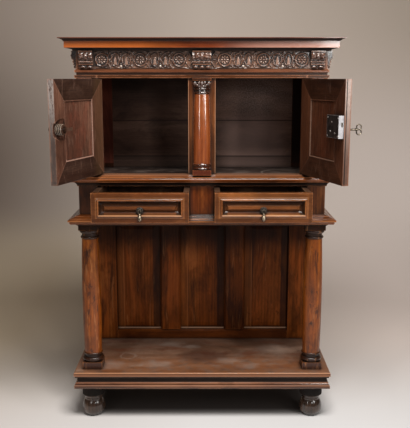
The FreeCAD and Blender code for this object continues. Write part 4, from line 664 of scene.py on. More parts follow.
def panel_marks_and_painted_light(graph, parts):
    """The back's panels: painted light on the bevels' left sides, a painted highlight line at each
    foot, painted shade on the right sides and just above the foot.
    """
    back_marks_and_painted_shade(graph, parts)
    x, _, z = parts.outputs
    turn = graph.times(x, 1 / (PANEL_PITCH * MM))
    across = graph.minus(turn, graph.math("ROUND", turn))
    across = graph.times(across, PANEL_PITCH * MM)
    left = graph.span(across, -0.066, -0.072)
    right = graph.span(across, 0.064, 0.072)
    foot = graph.levels(z, PANEL_FOOT + 24.0, PANEL_FOOT + 10.0)
    # Painted shade on the right bevels and just above each panel's foot
    graph.paint(graph.most(right, foot), 0.75, rgb(26, 11, 5))
    low = graph.levels(z, LOWER_WAIST - 130.0, LOWER_WAIST - 240.0)
    # Painted light on the left bevels, lower down
    graph.paint(graph.times(left, low), 0.25, rgb(138, 80, 36))
    line = graph.levels(z, PANEL_FOOT + 9.5, PANEL_FOOT + 8.0)
    # A painted highlight line along each panel's foot
    graph.paint(line, 0.85, rgb(190, 152, 124))
    # A painted highlight along each left edge, lower down
    edge = graph.size(graph.plus(across, 0.069))
    edge = graph.span(edge, 0.0024, 0.0008)
    graph.paint(graph.times(edge, low), 0.4, rgb(160, 100, 58))


def rim_marks_and_painted_shade(graph, parts):
    """The waists: a greyer rim on the upper one; on the lower one a dark line, a painted highlight
    line, and painted shadow of the drawers on the slope between them.
    """
    x, _, z = parts.outputs
    top = graph.levels(z, RIM - 4.0, RIM - 0.5)
    graph.paint(top, 0.55, rgb(146, 110, 88))
    stripes(graph, z, RIM, ((-10.0, -3.0, 0.4, rgb(98, 68, 50)),))
    # Painted shadow of the drawers on the slope between them
    slope = graph.window(z, DRAWER_STAGE - 24.0, DRAWER_STAGE - 16.0, DRAWER_STAGE + 4.0,
                         DRAWER_STAGE + 2.0, MM)
    slope = graph.times(slope, graph.span(graph.size(x), 0.07, 0.045))
    # A dark line and a painted highlight line along the lower waist
    stripes(graph, z, LOWER_WAIST,
            ((12.0, 16.0, 0.35, rgb(52, 26, 14)), (20.0, 26.0, 0.3, rgb(184, 128, 88))))
    graph.paint(slope, 0.88, rgb(34, 17, 9))


def cornice_painted_light(graph, parts):
    """The cornice's corona with painted light: orange towards its left end, a greyish painted
    reflection towards its right one; a darker lip above.
    """
    x, _, z = parts.outputs
    corona = graph.window(z, CORNICE + 10.5, CORNICE + 12.0, CORNICE + 36.5, CORNICE + 35.0, MM)
    # Painted light on the corona's left end
    left = graph.times(graph.span(x, -0.02, -0.3), corona)
    graph.paint(left, 0.6, rgb(186, 98, 40))
    # A painted reflection on the corona's right end
    right = graph.times(graph.span(x, 0.02, 0.28), corona)
    graph.paint(right, 0.4, rgb(206, 156, 138))
    above = graph.levels(z, CORNICE + 45.0, CORNICE + 46.5)
    graph.paint(above, 0.5, rgb(58, 18, 9))


def stile_edges(graph, parts):
    """The centre stile's upright edges, rubbed pale."""
    edge = graph.span(graph.size(parts.outputs[0]), STILE_HALF - 0.004, STILE_HALF - 0.002)
    graph.paint(edge, 0.55, rgb(176, 134, 106))


def drawer_shade_and_highlights(graph, parts):
    """Drawer fronts: painted shade in the sunk ground's top and ends, painted highlights on the
    rolls' crests, darker bottom and end borders.
    """
    x, _, z = parts.outputs
    across = graph.size(x)
    ends = graph.least(graph.minus(across, DRAWER_SIDES[0] * MM),
                       graph.minus(DRAWER_SIDES[1] * MM, across))
    top = graph.minus((DRAWER_STAGE + DRAWER_LEVELS[1]) * MM, z)
    foot = graph.minus(z, (DRAWER_STAGE + DRAWER_LEVELS[0]) * MM)
    inset = graph.least(ends, graph.least(top, foot))

    def near(value, low, high):
        return graph.window(value, low - 0.001, low + 0.001, high + 0.001, high - 0.001)

    # Painted shade in the top and ends of the sunk ground
    sunk = near(inset, 0.030, 0.041)
    shaded = graph.most(graph.span(top, 0.047, 0.043), graph.span(ends, 0.052, 0.046))
    graph.paint(graph.times(sunk, shaded), 0.75, SOOT_AND_SHADE)
    # Painted highlights on the rolls' crests, brighter on the lower one
    crest_highlight = graph.times(near(inset, 0.0165, 0.0205), graph.span(ends, 0.0, 0.02))
    graph.paint(crest_highlight, 0.16, rgb(206, 144, 92))
    lower = graph.times(near(foot, 0.0265, 0.0315), graph.span(ends, 0.026, 0.03))
    graph.paint(lower, 0.28, rgb(226, 178, 132))
    graph.paint(graph.span(foot, 0.017, 0.014), 0.55, rgb(56, 26, 12))
    graph.paint(graph.span(ends, 0.016, 0.012), 0.55, rgb(66, 38, 22))


def carved_marks_and_highlights(graph, parts):
    """The frieze: paler tongues, painted glints on the petals and painted highlights on the beads,
    on a dark ground with black gaps round the rosettes.
    """
    x, y, z = parts.outputs
    across = graph.size(x)
    front = graph.span(y, -0.200, -0.204)
    up = graph.minus(z, FIELD_MIDDLE * MM)
    field = graph.span(graph.size(up), 0.034, 0.033)
    field = graph.times(field, front)
    deep = graph.levels(y, FRONT - 3.0, FRONT - 1.2)
    graph.paint(graph.times(field, deep), 0.85, rgb(26, 12, 8))
    tongue = graph.window(up, -0.022, -0.019, 0.016, 0.012)
    width = graph.times_plus(up, -0.16, 0.0058)
    for centre in OVALS:
        away = graph.size(graph.minus(across, centre * MM))
        inside = graph.span(graph.minus(away, width), 0.0, -0.0016)
        inside = graph.times(graph.times(inside, tongue), field)
        graph.paint(inside, 0.5, rgb(164, 132, 116))
    # Painted glints on the rosettes' petals, and black gaps round them
    for centre in ROSETTES:
        away = graph.length(graph.minus(across, centre * MM), up)
        petals = graph.window(away, 0.0065, 0.009, 0.018, 0.0155)
        raised = graph.levels(y, FRONT - 4.6, FRONT - 5.4)
        petals = graph.times(graph.times(petals, raised), field)
        graph.paint(petals, 0.3, rgb(206, 176, 160))
        gap = graph.times(graph.span(away, 0.0215, 0.0195),
                          graph.levels(y, FRONT - 3.4, FRONT - 2.4))
        graph.paint(graph.times(gap, field), 0.9, SOOT_AND_SHADE)
    # Painted highlights on the beads
    for centre in BEADS:
        away = graph.length(graph.minus(across, centre * MM), graph.plus(up, 0.025))
        bead = graph.times(graph.span(away, 0.006, 0.004), field)
        graph.paint(bead, 0.7, rgb(226, 206, 190))


def column_knots(graph, parts):
    """Knots, dark cracks and worn pale flecks on the shafts."""
    x, y, z = parts.outputs
    place = graph.joined(x, y, z)
    bent = graph.stretched(place, (9.0, 9.0, 5.0), 5.0, 0.7, 1.2)
    knots = graph.span(bent, 0.60, 0.68)
    graph.paint(knots, 0.8, rgb(34, 14, 7))
    rot = graph.stretched(place, (30.0, 30.0, 14.0), 5.0, 0.7, 0.8)
    graph.paint(graph.span(rot, 0.57, 0.66), 0.7, rgb(48, 20, 9))
    flecks = graph.stretched(place, (70.0, 70.0, 9.0), 3.0, 0.6)
    graph.paint(graph.span(flecks, 0.58, 0.68), 0.7, rgb(46, 20, 9))
    bright = graph.span(flecks, 0.42, 0.32)
    graph.paint(bright, 0.3, rgb(196, 132, 82))


def door_edge(side):
    """Worn pale free edge of a door, and a tawny tint near its hinges."""
    def change(graph, parts):
        x, y, z = parts.outputs
        away = graph.times(x, -side)
        place = graph.joined(x, y, z)
        speckle = graph.stretched(place, (150.0, 150.0, 60.0), 5.0, 0.7)
        streak = graph.stretched(place, (60.0, 60.0, 6.0), 4.0, 0.6)
        edge = graph.span(away, DOOR_HALF_EDGE - 0.0006, DOOR_HALF_EDGE + 0.0002)
        rough = graph.times_plus(streak, 0.8, speckle)
        if side < 0:
            pale = graph.times(edge, graph.span(rough, 0.74, 1.0))
            graph.paint(edge, 0.6, rgb(84, 72, 68))
            graph.paint(pale, 0.85,
                        graph.mix(graph.span(z, 1.2, 1.4), rgb(82, 72, 67), rgb(166, 156, 150)))
        else:
            pale = graph.times(edge, graph.span(rough, 0.5, 0.72))
            graph.paint(pale, 0.92,
                        graph.mix(graph.span(z, 1.12, 1.42), rgb(92, 66, 54), rgb(164, 144, 134)))
            groove = graph.size(graph.minus(y, 0.0105))
            groove = graph.times(graph.span(groove, 0.0028, 0.0016), edge)
            graph.paint(groove, 0.9, SOOT_AND_SHADE)
        patches = graph.stretched(place, (14.0, 14.0, 9.0), 5.0, 0.7)
        panel = graph.window(away, 0.072, 0.074, 0.2765, 0.2745)
        panel = graph.times(panel, graph.levels(z, RIM + 86.0, RIM + 88.0))
        panel = graph.times(panel, graph.levels(z, RIM + 298.0, RIM + 296.0))
        patches = graph.times(graph.span(patches, 0.44, 0.62), panel)
        graph.paint(patches, 0.25, rgb(122, 60, 42) if side < 0 else rgb(98, 42, 20))
        graph.paint(graph.span(speckle, 0.5, 0.62), 0.26, rgb(36, 20, 15))
        scuffs = graph.stretched(place, (90.0, 90.0, 16.0), 4.0, 0.65)
        scuffs = graph.span(scuffs, 0.56, 0.68)
        graph.paint(scuffs, 0.22, rgb(136, 104, 88))
        near = graph.span(away, 0.085, 0.03)
        graph.paint(near, 0.3, rgb(84, 60, 34) if side < 0 else rgb(72, 40, 22))
    return change


def bead_painted_light(side):
    """The line round a door's panel, with painted light beside the hinges and at its foot only."""
    def change(graph, parts):
        x, _, z = parts.outputs
        away = graph.times(x, -side)
        # Painted light on the step faces beside the hinges and at the foot
        rubbed = graph.most(graph.span(away, 0.078, 0.073), graph.levels(z, RIM + 92.0, RIM + 86.0))
        other = rgb(176, 138, 122) if side < 0 else rgb(132, 104, 88)
        graph.paint(rubbed, 0.75, other)
    return change


def rib_stripes(graph, parts):
    """Bright worn ribs and black grooves along the catch's barrel."""
    _, y, _ = parts.outputs
    turn = graph.times(graph.minus(y, 0.005), 1 / 0.007)
    phase = graph.math("FRACT", turn)
    groove = graph.most(graph.span(phase, 0.2, 0.1), graph.span(phase, 0.62, 0.74))
    graph.paint(groove, 0.95, SOOT_AND_SHADE)
    graph.paint(graph.minus(1.0, groove), 0.5, rgb(158, 140, 122))


def lock_metal():
    """Iron lock case: blackened, with its end plate rubbed bright."""
    graph = Graph("lock_iron")
    vector, parts = grain_vector(graph, "Z", RIGHT_ANGLE, 2.3, RIGHT_HINGE)
    cloud = graph.noise(vector, 60.0, 4.0, 0.6)
    grit = graph.noise(vector, 420.0, 3.0, 0.6)
    away = graph.times(parts.outputs[0], -1.0)
    plate = graph.span(away, 0.3522, 0.3530)
    black = graph.mix(graph.span(cloud, 0.35, 0.65), rgb(24, 21, 20), rgb(52, 46, 43))
    bright = graph.mix(graph.span(cloud, 0.3, 0.7), rgb(150, 147, 150), rgb(186, 184, 187))
    graph.colour = graph.mix(plate, black, bright)
    graph.paint(graph.span(graph.openness(0.002, True), 0.8, 0.5), 0.5, rgb(210, 206, 204))
    worked_iron(graph, cloud, grit, 0.2, Metallic=0.35, Roughness=graph.times_plus(grit, 0.3, 0.32))


# Bands of another finish, some of them painted shade; ABOVE is over everything
# The first band is painted shade below the upper waist's nose; the second darkens the lower waist's
# foot
MOULDING_BANDS = (
    (RIM - 50.0, RIM - 28.5, 1.0, SOOT_AND_SHADE),
    (LOWER_WAIST - 5.0, LOWER_WAIST + 11.0, 1.0, SOOT_AND_SHADE))
FRIEZE_BANDS = ((FRIEZE - 2.0, FRIEZE + 19.5, 0.8, rgb(66, 34, 13)),)
# Painted shade below the platform's edge, on the plinth's top
PLINTH_BANDS = ((PLATFORM_TOP - 44.5, PLATFORM_TOP - 24.0, 0.8, SOOT_AND_SHADE),)
COLUMN_BANDS = (
    (PLATFORM_TOP - 2.0, PLATFORM_TOP + 31.0, 1.0, rgb(52, 26, 16)),
    (PLATFORM_TOP + 31.0, PLATFORM_TOP + 71.0, 2.0, NEAR_BLACK),
    (LOWER_WAIST - 60.0, LOWER_WAIST - 24.0, 2.0, NEAR_BLACK),
    (LOWER_WAIST - 24.0, ABOVE, 1.0, SOOT_AND_SHADE))
HALF_BANDS = (
    (RIM - 2.0, RIM + 21.0, 1.0, rgb(78, 30, 13)),
    (RIM + 21.0, RIM + 46.0, 2.0, rgb(58, 24, 10)),
    (FRIEZE - 63.0, ABOVE, 2.0, NEAR_BLACK))
FOOT_BANDS = ((FOOT_TOP - 60.0, ABOVE, 4.0, SOOT_AND_SHADE),)
# Painted shade below the lip and on the soffit beneath the corona; dust on the top
CORNICE_BANDS = (
    (CORNICE + 36.0, CORNICE + 46.2, 0.8, SOOT_AND_SHADE),
    (CORNICE - 1.0, CORNICE + 11.2, 0.8, SOOT_AND_SHADE),
    (CORNICE_TOP - 1.0, ABOVE, 0.4, DUST))

# The materials
wood("frame_upright", FRAME_TONES, "Z", seed=1.3, gloss=0.33, coat=0.25, wear=0.6)
wood("centre_stile", FRAME_TONES, "Z", seed=1.7, gloss=0.3, coat=0.35, wear=0.8, extra=stile_edges)
wood("middle_post", POST_TONES, "Z", seed=2.1, gloss=0.3, coat=0.3, wear=0.5)
wood("frame_level", FRAME_TONES, "X", seed=2.9, gloss=0.6, coat=0.0, spec=0.15)
wood("frame_depth", FRAME_TONES, "Y", seed=3.7, gloss=0.38, coat=0.15)
# The left cupboard side's red tones are lighter than the right side's, as painted light
wood("red_side_painted_light", RED_TONES, "Z", seed=3.3, gloss=0.42, coat=0.1, spec=0.2)
wood("moulding", ORANGE_TONES, "X", seed=4.1, gloss=0.24, coat=0.5, mottle=0.45, wear=0.7,
     bands=MOULDING_BANDS, shine=0.1, extra=rim_marks_and_painted_shade)
wood("frieze_mouldings", FRIEZE_TONES, "X", seed=4.9, gloss=0.22, coat=0.6, mottle=0.35, wear=0.8,
     bands=FRIEZE_BANDS)
wood("cornice", CORNICE_TONES, "X", seed=5.3, gloss=0.2, coat=0.7, mottle=0.5, spec=0.5, shine=0.1,
     wear=0.12, bands=CORNICE_BANDS, extra=cornice_painted_light)
wood("column", TURNED_TONES, "Z", seed=6.1, gloss=0.36, coat=0.28, mottle=0.6, bands=COLUMN_BANDS,
     extra=column_knots, worms=0.9, bump=0.4, shine=0.15)
wood("half_column", SHAFT_TONES, "Z", seed=7.7, gloss=0.22, coat=1.0, mottle=0.3, bands=HALF_BANDS,
     spec=0.5, shine=0.11, bump=0.15, varnish=1.8)
wood("foot_turning", FOOT_TONES, "Z", seed=9.3, gloss=0.28, coat=0.8, wear=0.6, mottle=0.6,
     shine=0.11, bands=FOOT_BANDS)
wood("platform", STAGE_TONES, "X", seed=9.7, gloss=0.44, coat=0.12, mottle=0.45,
     extra=platform_marks_and_painted_light, spec=0.3, worms=0.2)
wood("plinth", PLINTH_TONES, "X", seed=10.3, gloss=0.22, coat=0.7, wear=0.7, mottle=0.45,
     bands=PLINTH_BANDS, extra=plinth_highlights_and_shade)
wood("panel", BACK_TONES, "Z", seed=11.9, gloss=0.44, coat=0.0, spec=0.1, mottle=0.5,
     extra=panel_marks_and_painted_light, wear=0.55)
wood("back_rail", BACK_TONES, "X", seed=12.7, gloss=0.42, coat=0.0, spec=0.12, mottle=0.5, wear=0.6)
wood("inside", INSIDE_TONES_PAINTED_LIGHT, "X", seed=12.1, gloss=0.5, coat=0.05, spec=0.2, wear=0.1,
     extra=inside_marks_and_painted_light, fade=0.15)
wood("inner_floor", FLOOR_TONES, "X", seed=12.4, gloss=0.45, coat=0.1, spec=0.25, extra=floor_marks,
     mottle=0.4)
wood("stile_back", BACK_TONES, "Z", seed=13.3, gloss=0.42, coat=0.0, spec=0.1, extra=back_marks_and_painted_shade,
     wear=0.5)
wood("lining", LINING_TONES, "Y", seed=14.9, gloss=0.6, coat=0.0, spec=0.2, wear=0.5)
wood("drawer_front", DRAWER_TONES, "X", seed=15.7, gloss=0.26, coat=0.45, mottle=0.5, wear=0.9,
     extra=drawer_shade_and_highlights)
wood("carved", CARVED_TONES, "X", seed=16.3, extra=carved_marks_and_highlights, gloss=0.24, coat=0.9, grime_and_shade=1.0,
     wear=0.7, mottle=0.3, worms=0.0, shine=0.1, spec=0.5, varnish=1.7)
wood("capital", CARVED_TONES, "Z", seed=16.9, gloss=0.2, coat=1.0, grime_and_shade=1.0, wear=0.4, mottle=0.3,
     worms=0.0, shine=0.07, spec=0.5, bump=0.1, varnish=1.9)
wood("catch_wood", DARK_TONES, "Z", seed=17.9, gloss=0.3)
wood("catch_ribs", FOOT_TONES, "Z", turn=LEFT_ANGLE, origin=LEFT_HINGE, seed=18.3, gloss=0.28,
     coat=0.4, wear=0.3, worms=0.0, grime_and_shade=0.3, extra=rib_stripes)
metal("dark_iron", rgb(34, 30, 27), rgb(92, 86, 80), 0.42)
lock_metal()
metal("rivet_iron", rgb(120, 114, 110), rgb(222, 216, 210), 0.3, rust=0.1)
metal("key_iron", rgb(66, 56, 46), rgb(158, 146, 130), 0.34)
metal("pull_metal", rgb(54, 44, 34), rgb(176, 160, 138), 0.28, rust=0.3)
for door, angle, shift, origin, tones, side in (
        ("left", LEFT_ANGLE, 18.1, LEFT_HINGE, LEFT_DOOR_TONES, -1),
        ("right", RIGHT_ANGLE, 21.7, RIGHT_HINGE, RIGHT_DOOR_SHADED_TONES, 1)):
    common = {"turn": angle, "origin": origin, "gloss": 0.44, "coat": 0.1, "spec": 0.25,
              "extra": door_edge(side), "wear": 0.7, "worms": 0.8, "fine": 0.75, "mottle": 0.45,
              "bump": 0.5, "fade": 0.12}
    wood(door + "_door_stile", tones, "Z", seed=shift, **common)
    share = 0.27 if side < 0 else 0.46
    darker = [toned(tone, share) for tone in tones]
    wood(door + "_door_rail", darker, "X", seed=shift + 1, **common)
    wood(door + "_door_panel", tones, "Z", seed=shift + 2, **common)
    wood(door + "_door_trim", tones, "X", seed=shift + 3, turn=angle, origin=origin, gloss=0.34,
         coat=0.3, wear=0.3, extra=bead_painted_light(side))

# The CAD nodes that get each material
FINISH = {
    "moulding": ("lower_waist_moulding", "upper_waist_moulding"),
    "frieze_mouldings": ("frieze_board",),
    "cornice": ("cornice_moulding",),
    "plinth": ("plinth_frame",),
    "platform": ("platform_board",),
    "column": ("left_column", "right_column"),
    "half_column": ("centre_half_column", "outer_half_columns"),
    "foot_turning": ("left_front_foot", "right_front_foot", "rear_feet"),
    "stile_back": ("rear_posts", "back_muntins"),
    "back_rail": ("back_bottom_rail",),
    "frame_level": ("top_board",),
    "inner_floor": ("cupboard_floor",),
    "panel": ("left_back_panel", "centre_back_panel", "right_back_panel"),
    "frame_upright": ("left_drawer_post", "right_drawer_post", "left_front_stile",
                      "right_front_stile"),
    "centre_stile": ("centre_stile",),
    "middle_post": ("centre_drawer_post",),
    "frame_depth": ("left_stage_side", "right_stage_side", "right_cupboard_side"),
    "red_side_painted_light": ("left_cupboard_side",),
    "inside": ("drawer_bearer_board", "back_lower_board", "back_upper_board", "back_middle_rail"),
    "carved": ("left_corbel", "centre_corbel", "right_corbel"),
    "drawer_front": ("left_drawer_front", "right_drawer_front"),
    "lining": ("left_drawer_box", "right_drawer_box", "left_drawer_bottom", "right_drawer_bottom"),
    "lock_iron": ("lock_case",),
    "key_iron": ("key",),
    "catch_wood": ("door_catch",),
    "dark_iron": ("left_door_pins", "right_door_pins", "lock_bolt", "left_pull_rose",
                  "right_pull_rose"),
    "pull_metal": ("left_pull_drop", "right_pull_drop"),
    "left_door_stile": ("left_door_stiles",),
    "left_door_rail": ("left_door_rails",),
    "left_door_panel": ("left_door_panel",),
    "right_door_stile": ("right_door_stiles",),
    "right_door_rail": ("right_door_rails",),
    "right_door_panel": ("right_door_panel",),
}
for finish, names in FINISH.items():
    for node_name in names:
        for entry in NODES[node_name].material_slots:
            entry.material = MATERIALS[finish]

# CAD nodes whose edges are softened
SOFTENED = ("left_drawer_post", "right_drawer_post", "centre_drawer_post", "left_front_stile",
            "right_front_stile", "centre_stile", "rear_posts", "left_drawer_box",
            "right_drawer_box", "left_stage_side", "right_stage_side", "top_board",
            "left_cupboard_side", "right_cupboard_side")
for node_name in SOFTENED:
    piece = NODES[node_name]
    weld = piece.modifiers.new("weld", "WELD")
    weld.merge_threshold = 0.00002
    soften = piece.modifiers.new("soften", "BEVEL")
    soften.width = 1.6 * MM
    soften.segments = 2
    soften.limit_method = "ANGLE"
    soften.angle_limit = math.radians(40)
    normals = piece.modifiers.new("normals", "WEIGHTED_NORMAL")
    normals.keep_sharp = True


# Frieze carving

def dome(x, z, half_x, half_z, rise, lean=0.0):
    """Height of a rounded boss."""
    if lean:
        cosine, sine = math.cos(lean), math.sin(lean)
        x, z = x * cosine + z * sine, z * cosine - x * sine
    left = 1 - (x / half_x) ** 2 - (z / half_z) ** 2
    return rise * math.sqrt(left) if left > 0 else 0.0


def band(distance, half, rise):
    """Height of a rounded band at a distance from its middle line."""
    left = 1 - (distance / half) ** 2
    return rise * math.sqrt(left) if left > 0 else 0.0


def frieze_height(x, z):
    """Height of the carving, x from the middle of the frieze and z from the field's middle line."""
    x = abs(x)
    x += 0.9 * noise.noise(Vector((x * 0.06, z * 0.06, 3.1)))
    z += 0.9 * noise.noise(Vector((x * 0.06, z * 0.06, 7.7)))
    rise = 0.35 * noise.noise(Vector((x * 0.35, z * 0.35, 1.7)))
    for centre in ROSETTES:
        dx = x - centre
        radius = math.hypot(dx, z)
        if radius > 31:
            continue
        angle = math.atan2(z, dx)
        rise = max(rise, band(radius - 24.5, 4.0, 8.0))
        if radius < 19:
            petal = abs(math.cos(4 * angle)) ** 0.7
            rise = max(rise, 5.6 * petal * band(radius - 11.5, 6.6, 1.0))
            rise = max(rise, dome(dx, z, 5.6, 5.6, 7.0))
    for centre in OVALS:
        dx = x - centre
        if abs(dx) > 20:
            continue
        reach = math.hypot(dx / 18.3, z / 28.5)
        rise = max(rise, band((reach - 0.86) * 18.3, 2.4, 6.0))
        taper = 5.8 - 0.16 * z
        if -21 < z < 15 and abs(dx) < taper:
            rise = max(rise, 8.4 * min(1.0, (taper - abs(dx)) / 2.2, (15 - z) / 5, (z + 21) / 2))
    for centre in BEADS:
        dx = x - centre
        rise = max(rise, dome(dx, z + 25.0, 5.2, 6.0, 7.4), dome(dx, z - 25.0, 4.6, 5.0, 6.0),
                   dome(dx, z, 3.2, 12.0, 5.0), dome(dx, abs(z) - 15.5, 5.0, 2.4, 4.4))
    for centre in LEAVES:
        dx = x - centre
        if abs(dx) > 26:
            continue
        rise = max(rise, dome(dx, z, 6.0, 3.0, 5.0), dome(dx, abs(z) - 27.0, 4.0, 5.0, 6.6))
        for lean, reach in ((0.62, 7.0), (-0.62, -7.0)):
            rise = max(rise, dome(dx - reach, abs(z) - 17.0, 3.0, 11.0, 5.2, lean))
    rise = max(rise, band(abs(z) - 32.0, 1.5, 3.4))
    if x > 419:
        rise *= max(0.0, 1 - (x - 419) / 3)
    return rise


def carve(name, ends, step, motif, place, back):
    """A carved field of the frieze; motif turns a place along it into one of the front's."""
    low, high = ends
    columns = int((high - low) / step)
    rows = int((FIELD[1] - FIELD[0]) / step)

    def at(i, j):
        along = low + (high - low) * i / columns
        z = FIELD[0] + (FIELD[1] - FIELD[0]) * j / rows
        return place(along, frieze_height(motif(along), z - FIELD_MIDDLE), z)

    finish_mesh(name, sheet(columns, rows, at, back), "carved", "case", 60)


for word, side in SIDES:
    carve(word + "_frieze_carving", FIELD_ENDS, 1.0, lambda along: along,
          lambda along, rise, z: Vector((along * side, FRONT - 0.6 - rise, z)) * MM,
          lambda point: Vector((point.x, (FRONT + 1) * MM, point.z)))
    carve(word + "_frieze_flank", FLANK_ENDS, 1.4,
          lambda along: ROSETTES[1] + (along - FLANK_ROSETTE),
          lambda along, rise, z: Vector((side * (FLANK + 0.6 + rise * 0.8), along, z)) * MM,
          lambda point: Vector((side * (FLANK - 1.0) * MM, point.y, point.z)))


# Corbels

CORBEL_FOOT = FRIEZE + 36.0
FRONT_REACH, FLANK_REACH = 25.0, 19.0
FLANK_CORBEL = -184.0


def corbel_line(out):
    """The corbel's profile from its top down, in millimetres over its foot."""
    items = [(out + 1.5, 68.0), (out + 1.5, 62.0), (out - 1.0, 61.0),
             (out * 0.66, 32.0, -0.17), (out * 0.62, 30.5)]
    items += [(out * 0.76, 29.5), (out * 0.76, 23.0), (out * 0.6, 22.0), (out * 0.6, 19.0),
              (out * 0.7, 18.0), (out * 0.7, 14.0), (out * 0.44, 12.5), (out * 0.44, 0.0)]
    return outline(items, 26)


def corbel(name, half, out, reeds, place, back, columns=84):
    """A carved corbel: fluted scroll with leaves, bead row, fillets and drops."""
    line = corbel_line(out)
    dense = [line[0]]
    for first, second in zip(line, line[1:]):
        pieces = max(1, int(math.hypot(second[0] - first[0], second[1] - first[1]) / 0.8))
        dense += [(first[0] + (second[0] - first[0]) * k / pieces,
                   first[1] + (second[1] - first[1]) * k / pieces) for k in range(1, pieces + 1)]

    def at(i, j):
        across = -half + 2 * half * i / columns
        depth, height = dense[j]
        share = across / half
        if 32 < height < 60.5:
            wave = math.cos(share * math.pi * reeds / 2)
            fade = min(1.0, (height - 32) / 4, (60.5 - height) / 3)
            depth += (4.6 * abs(wave) ** 0.5 - 3.4) * fade
            leaf = math.sin((height - 32) * 0.5 + abs(share) * 5.0)
            depth += 1.0 * leaf * fade
        elif 23 < height < 29.5:
            phase = (share * (reeds + 1.5)) % 1.0 - 0.5
            depth += 2.4 * math.sqrt(max(0.0, 1 - (phase / 0.46) ** 2)) - 1.0
        elif height < 12.5:
            drops = 2 if reeds < 4 else 3
            phase = ((share + 1) / 2 * drops) % 1.0 - 0.5
            boss = max(0.0, 1 - (phase / 0.42) ** 2) * max(0.0, 1 - ((height - 6.5) / 6.5) ** 2)
            depth += 8.0 * math.sqrt(boss) - 3.6
        return place(across, depth, CORBEL_FOOT + height)

    data = sheet(columns, len(dense) - 1, at, back)
    return finish_mesh(name, data, "carved", "case", 50)


for word, side, half, reeds in (("left", -1, 27.0, 3), ("centre", 0, 36.0, 4),
                                ("right", 1, 27.0, 3)):
    middle = side * OUTER_CORBEL
    front = corbel(word + "_corbel_front", half, FRONT_REACH, reeds,
                   lambda across, depth, z: Vector((middle + across, FRONT - depth, z)) * MM,
                   lambda point: Vector((point.x, (FRONT + 0.5) * MM, point.z)))
    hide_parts(word + "_corbel")
    if side:
        corbel(word + "_corbel_flank", 21.0, FLANK_REACH, 2,
               lambda across, depth, z: Vector(
                   (side * (FLANK + depth), FLANK_CORBEL + across, z)) * MM,
               lambda point: Vector((side * (FLANK - 0.5) * MM, point.y, point.z)), 48)


# Capitals of the half columns

BELL = FRIEZE - 36.0


def leafy(angle, radius, height):
    """Leaves round the bell of a capital, curling out at their tips."""
    rise = (height - BELL - 10.0) / 16.0
    if not 0 <= rise <= 1:
        return 0.0
    lobe = abs(math.cos(angle * 4.0))
    vein = 0.7 * math.cos(angle * 32.0)
    return (lobe ** 0.5) * (1.5 + 4.2 * rise ** 2) + vein * (1 - rise) - 1.0


CAPITAL = outline([(26.6, BELL - 0.5), (30.4, BELL + 1.5, 0.2), (32.0, BELL + 5.0, 0.2),
                   (30.4, BELL + 8.5, 0.2), (27.8, BELL + 10.0), (28.6, BELL + 13.0),
                   (32.0, BELL + 22.0, -0.1), (33.8, BELL + 24.5), (30.0, BELL + 25.8)], 10)
VOLUTES = ((26.5, 22.0, 15.5, (11.5, 10.5, 10.0)), (27.0, 31.0, 16.0, (6.4, 3.0, 6.2)),
           (11.0, 30.5, 17.0, (6.0, 4.6, 8.0)), (18.0, 31.0, 8.5, (4.0, 3.0, 4.0)))


def leaves_and_volutes(data):
    """Adds the scrolls at the corners of a capital and the leaves between them to its bmesh."""
    for side in (-1, 1):
        for x, out, up, radii in VOLUTES:
            ball(data, (side * x, -out, BELL + up), radii, 12, 18)
    ball(data, (0.0, -31.0, BELL + 15.0), (6.5, 5.2, 9.5), 12, 18)


OUTER_GIRTH = 0.82

for word, side in (("left", -1), ("centre", 0), ("right", 1)):
    girth = OUTER_GIRTH if side else 1.0
    data = lathe(CAPITAL, 96, 180.0, 180.0, leafy)
    leaves_and_volutes(data)
    place = Matrix.Translation((side * OUTER_HALF_COLUMN * MM, (FRONT + 0.3) * MM, 0))
    finish_mesh(word + "_capital_leaves", data, "capital", "case", 50,
                place @ Matrix.Diagonal((girth, girth, 1, 1)))


# Beads on the lower waist's slope

SLOPE_RUN, SLOPE_RISE = 42.0, 18.0


def slope_bead(name, out, half):
    """A fine bead that runs round the slope over the lower waist moulding."""
    foot = DRAWER_STAGE - SLOPE_RISE + (SLOPE_RUN - out) * SLOPE_RISE / SLOPE_RUN
    lean = math.atan2(SLOPE_RISE, SLOPE_RUN)
    profile = []
    for step in range(7):
        turn = math.pi * step / 6
        along, lift = -half * math.cos(turn), half * math.sin(turn)
        profile.append((out - along * math.cos(lean) + lift * math.sin(lean),
                        foot + along * math.sin(lean) + lift * math.cos(lean) - 0.2))
    data = swept_rim(500.0, FRONT, 204.0, profile)
    finish_mesh(name, data, "moulding", "case", 40)


slope_bead("waist_bead_low", 33.0, 2.2)
slope_bead("waist_bead_high", 15.0, 1.8)


# Drawer fronts

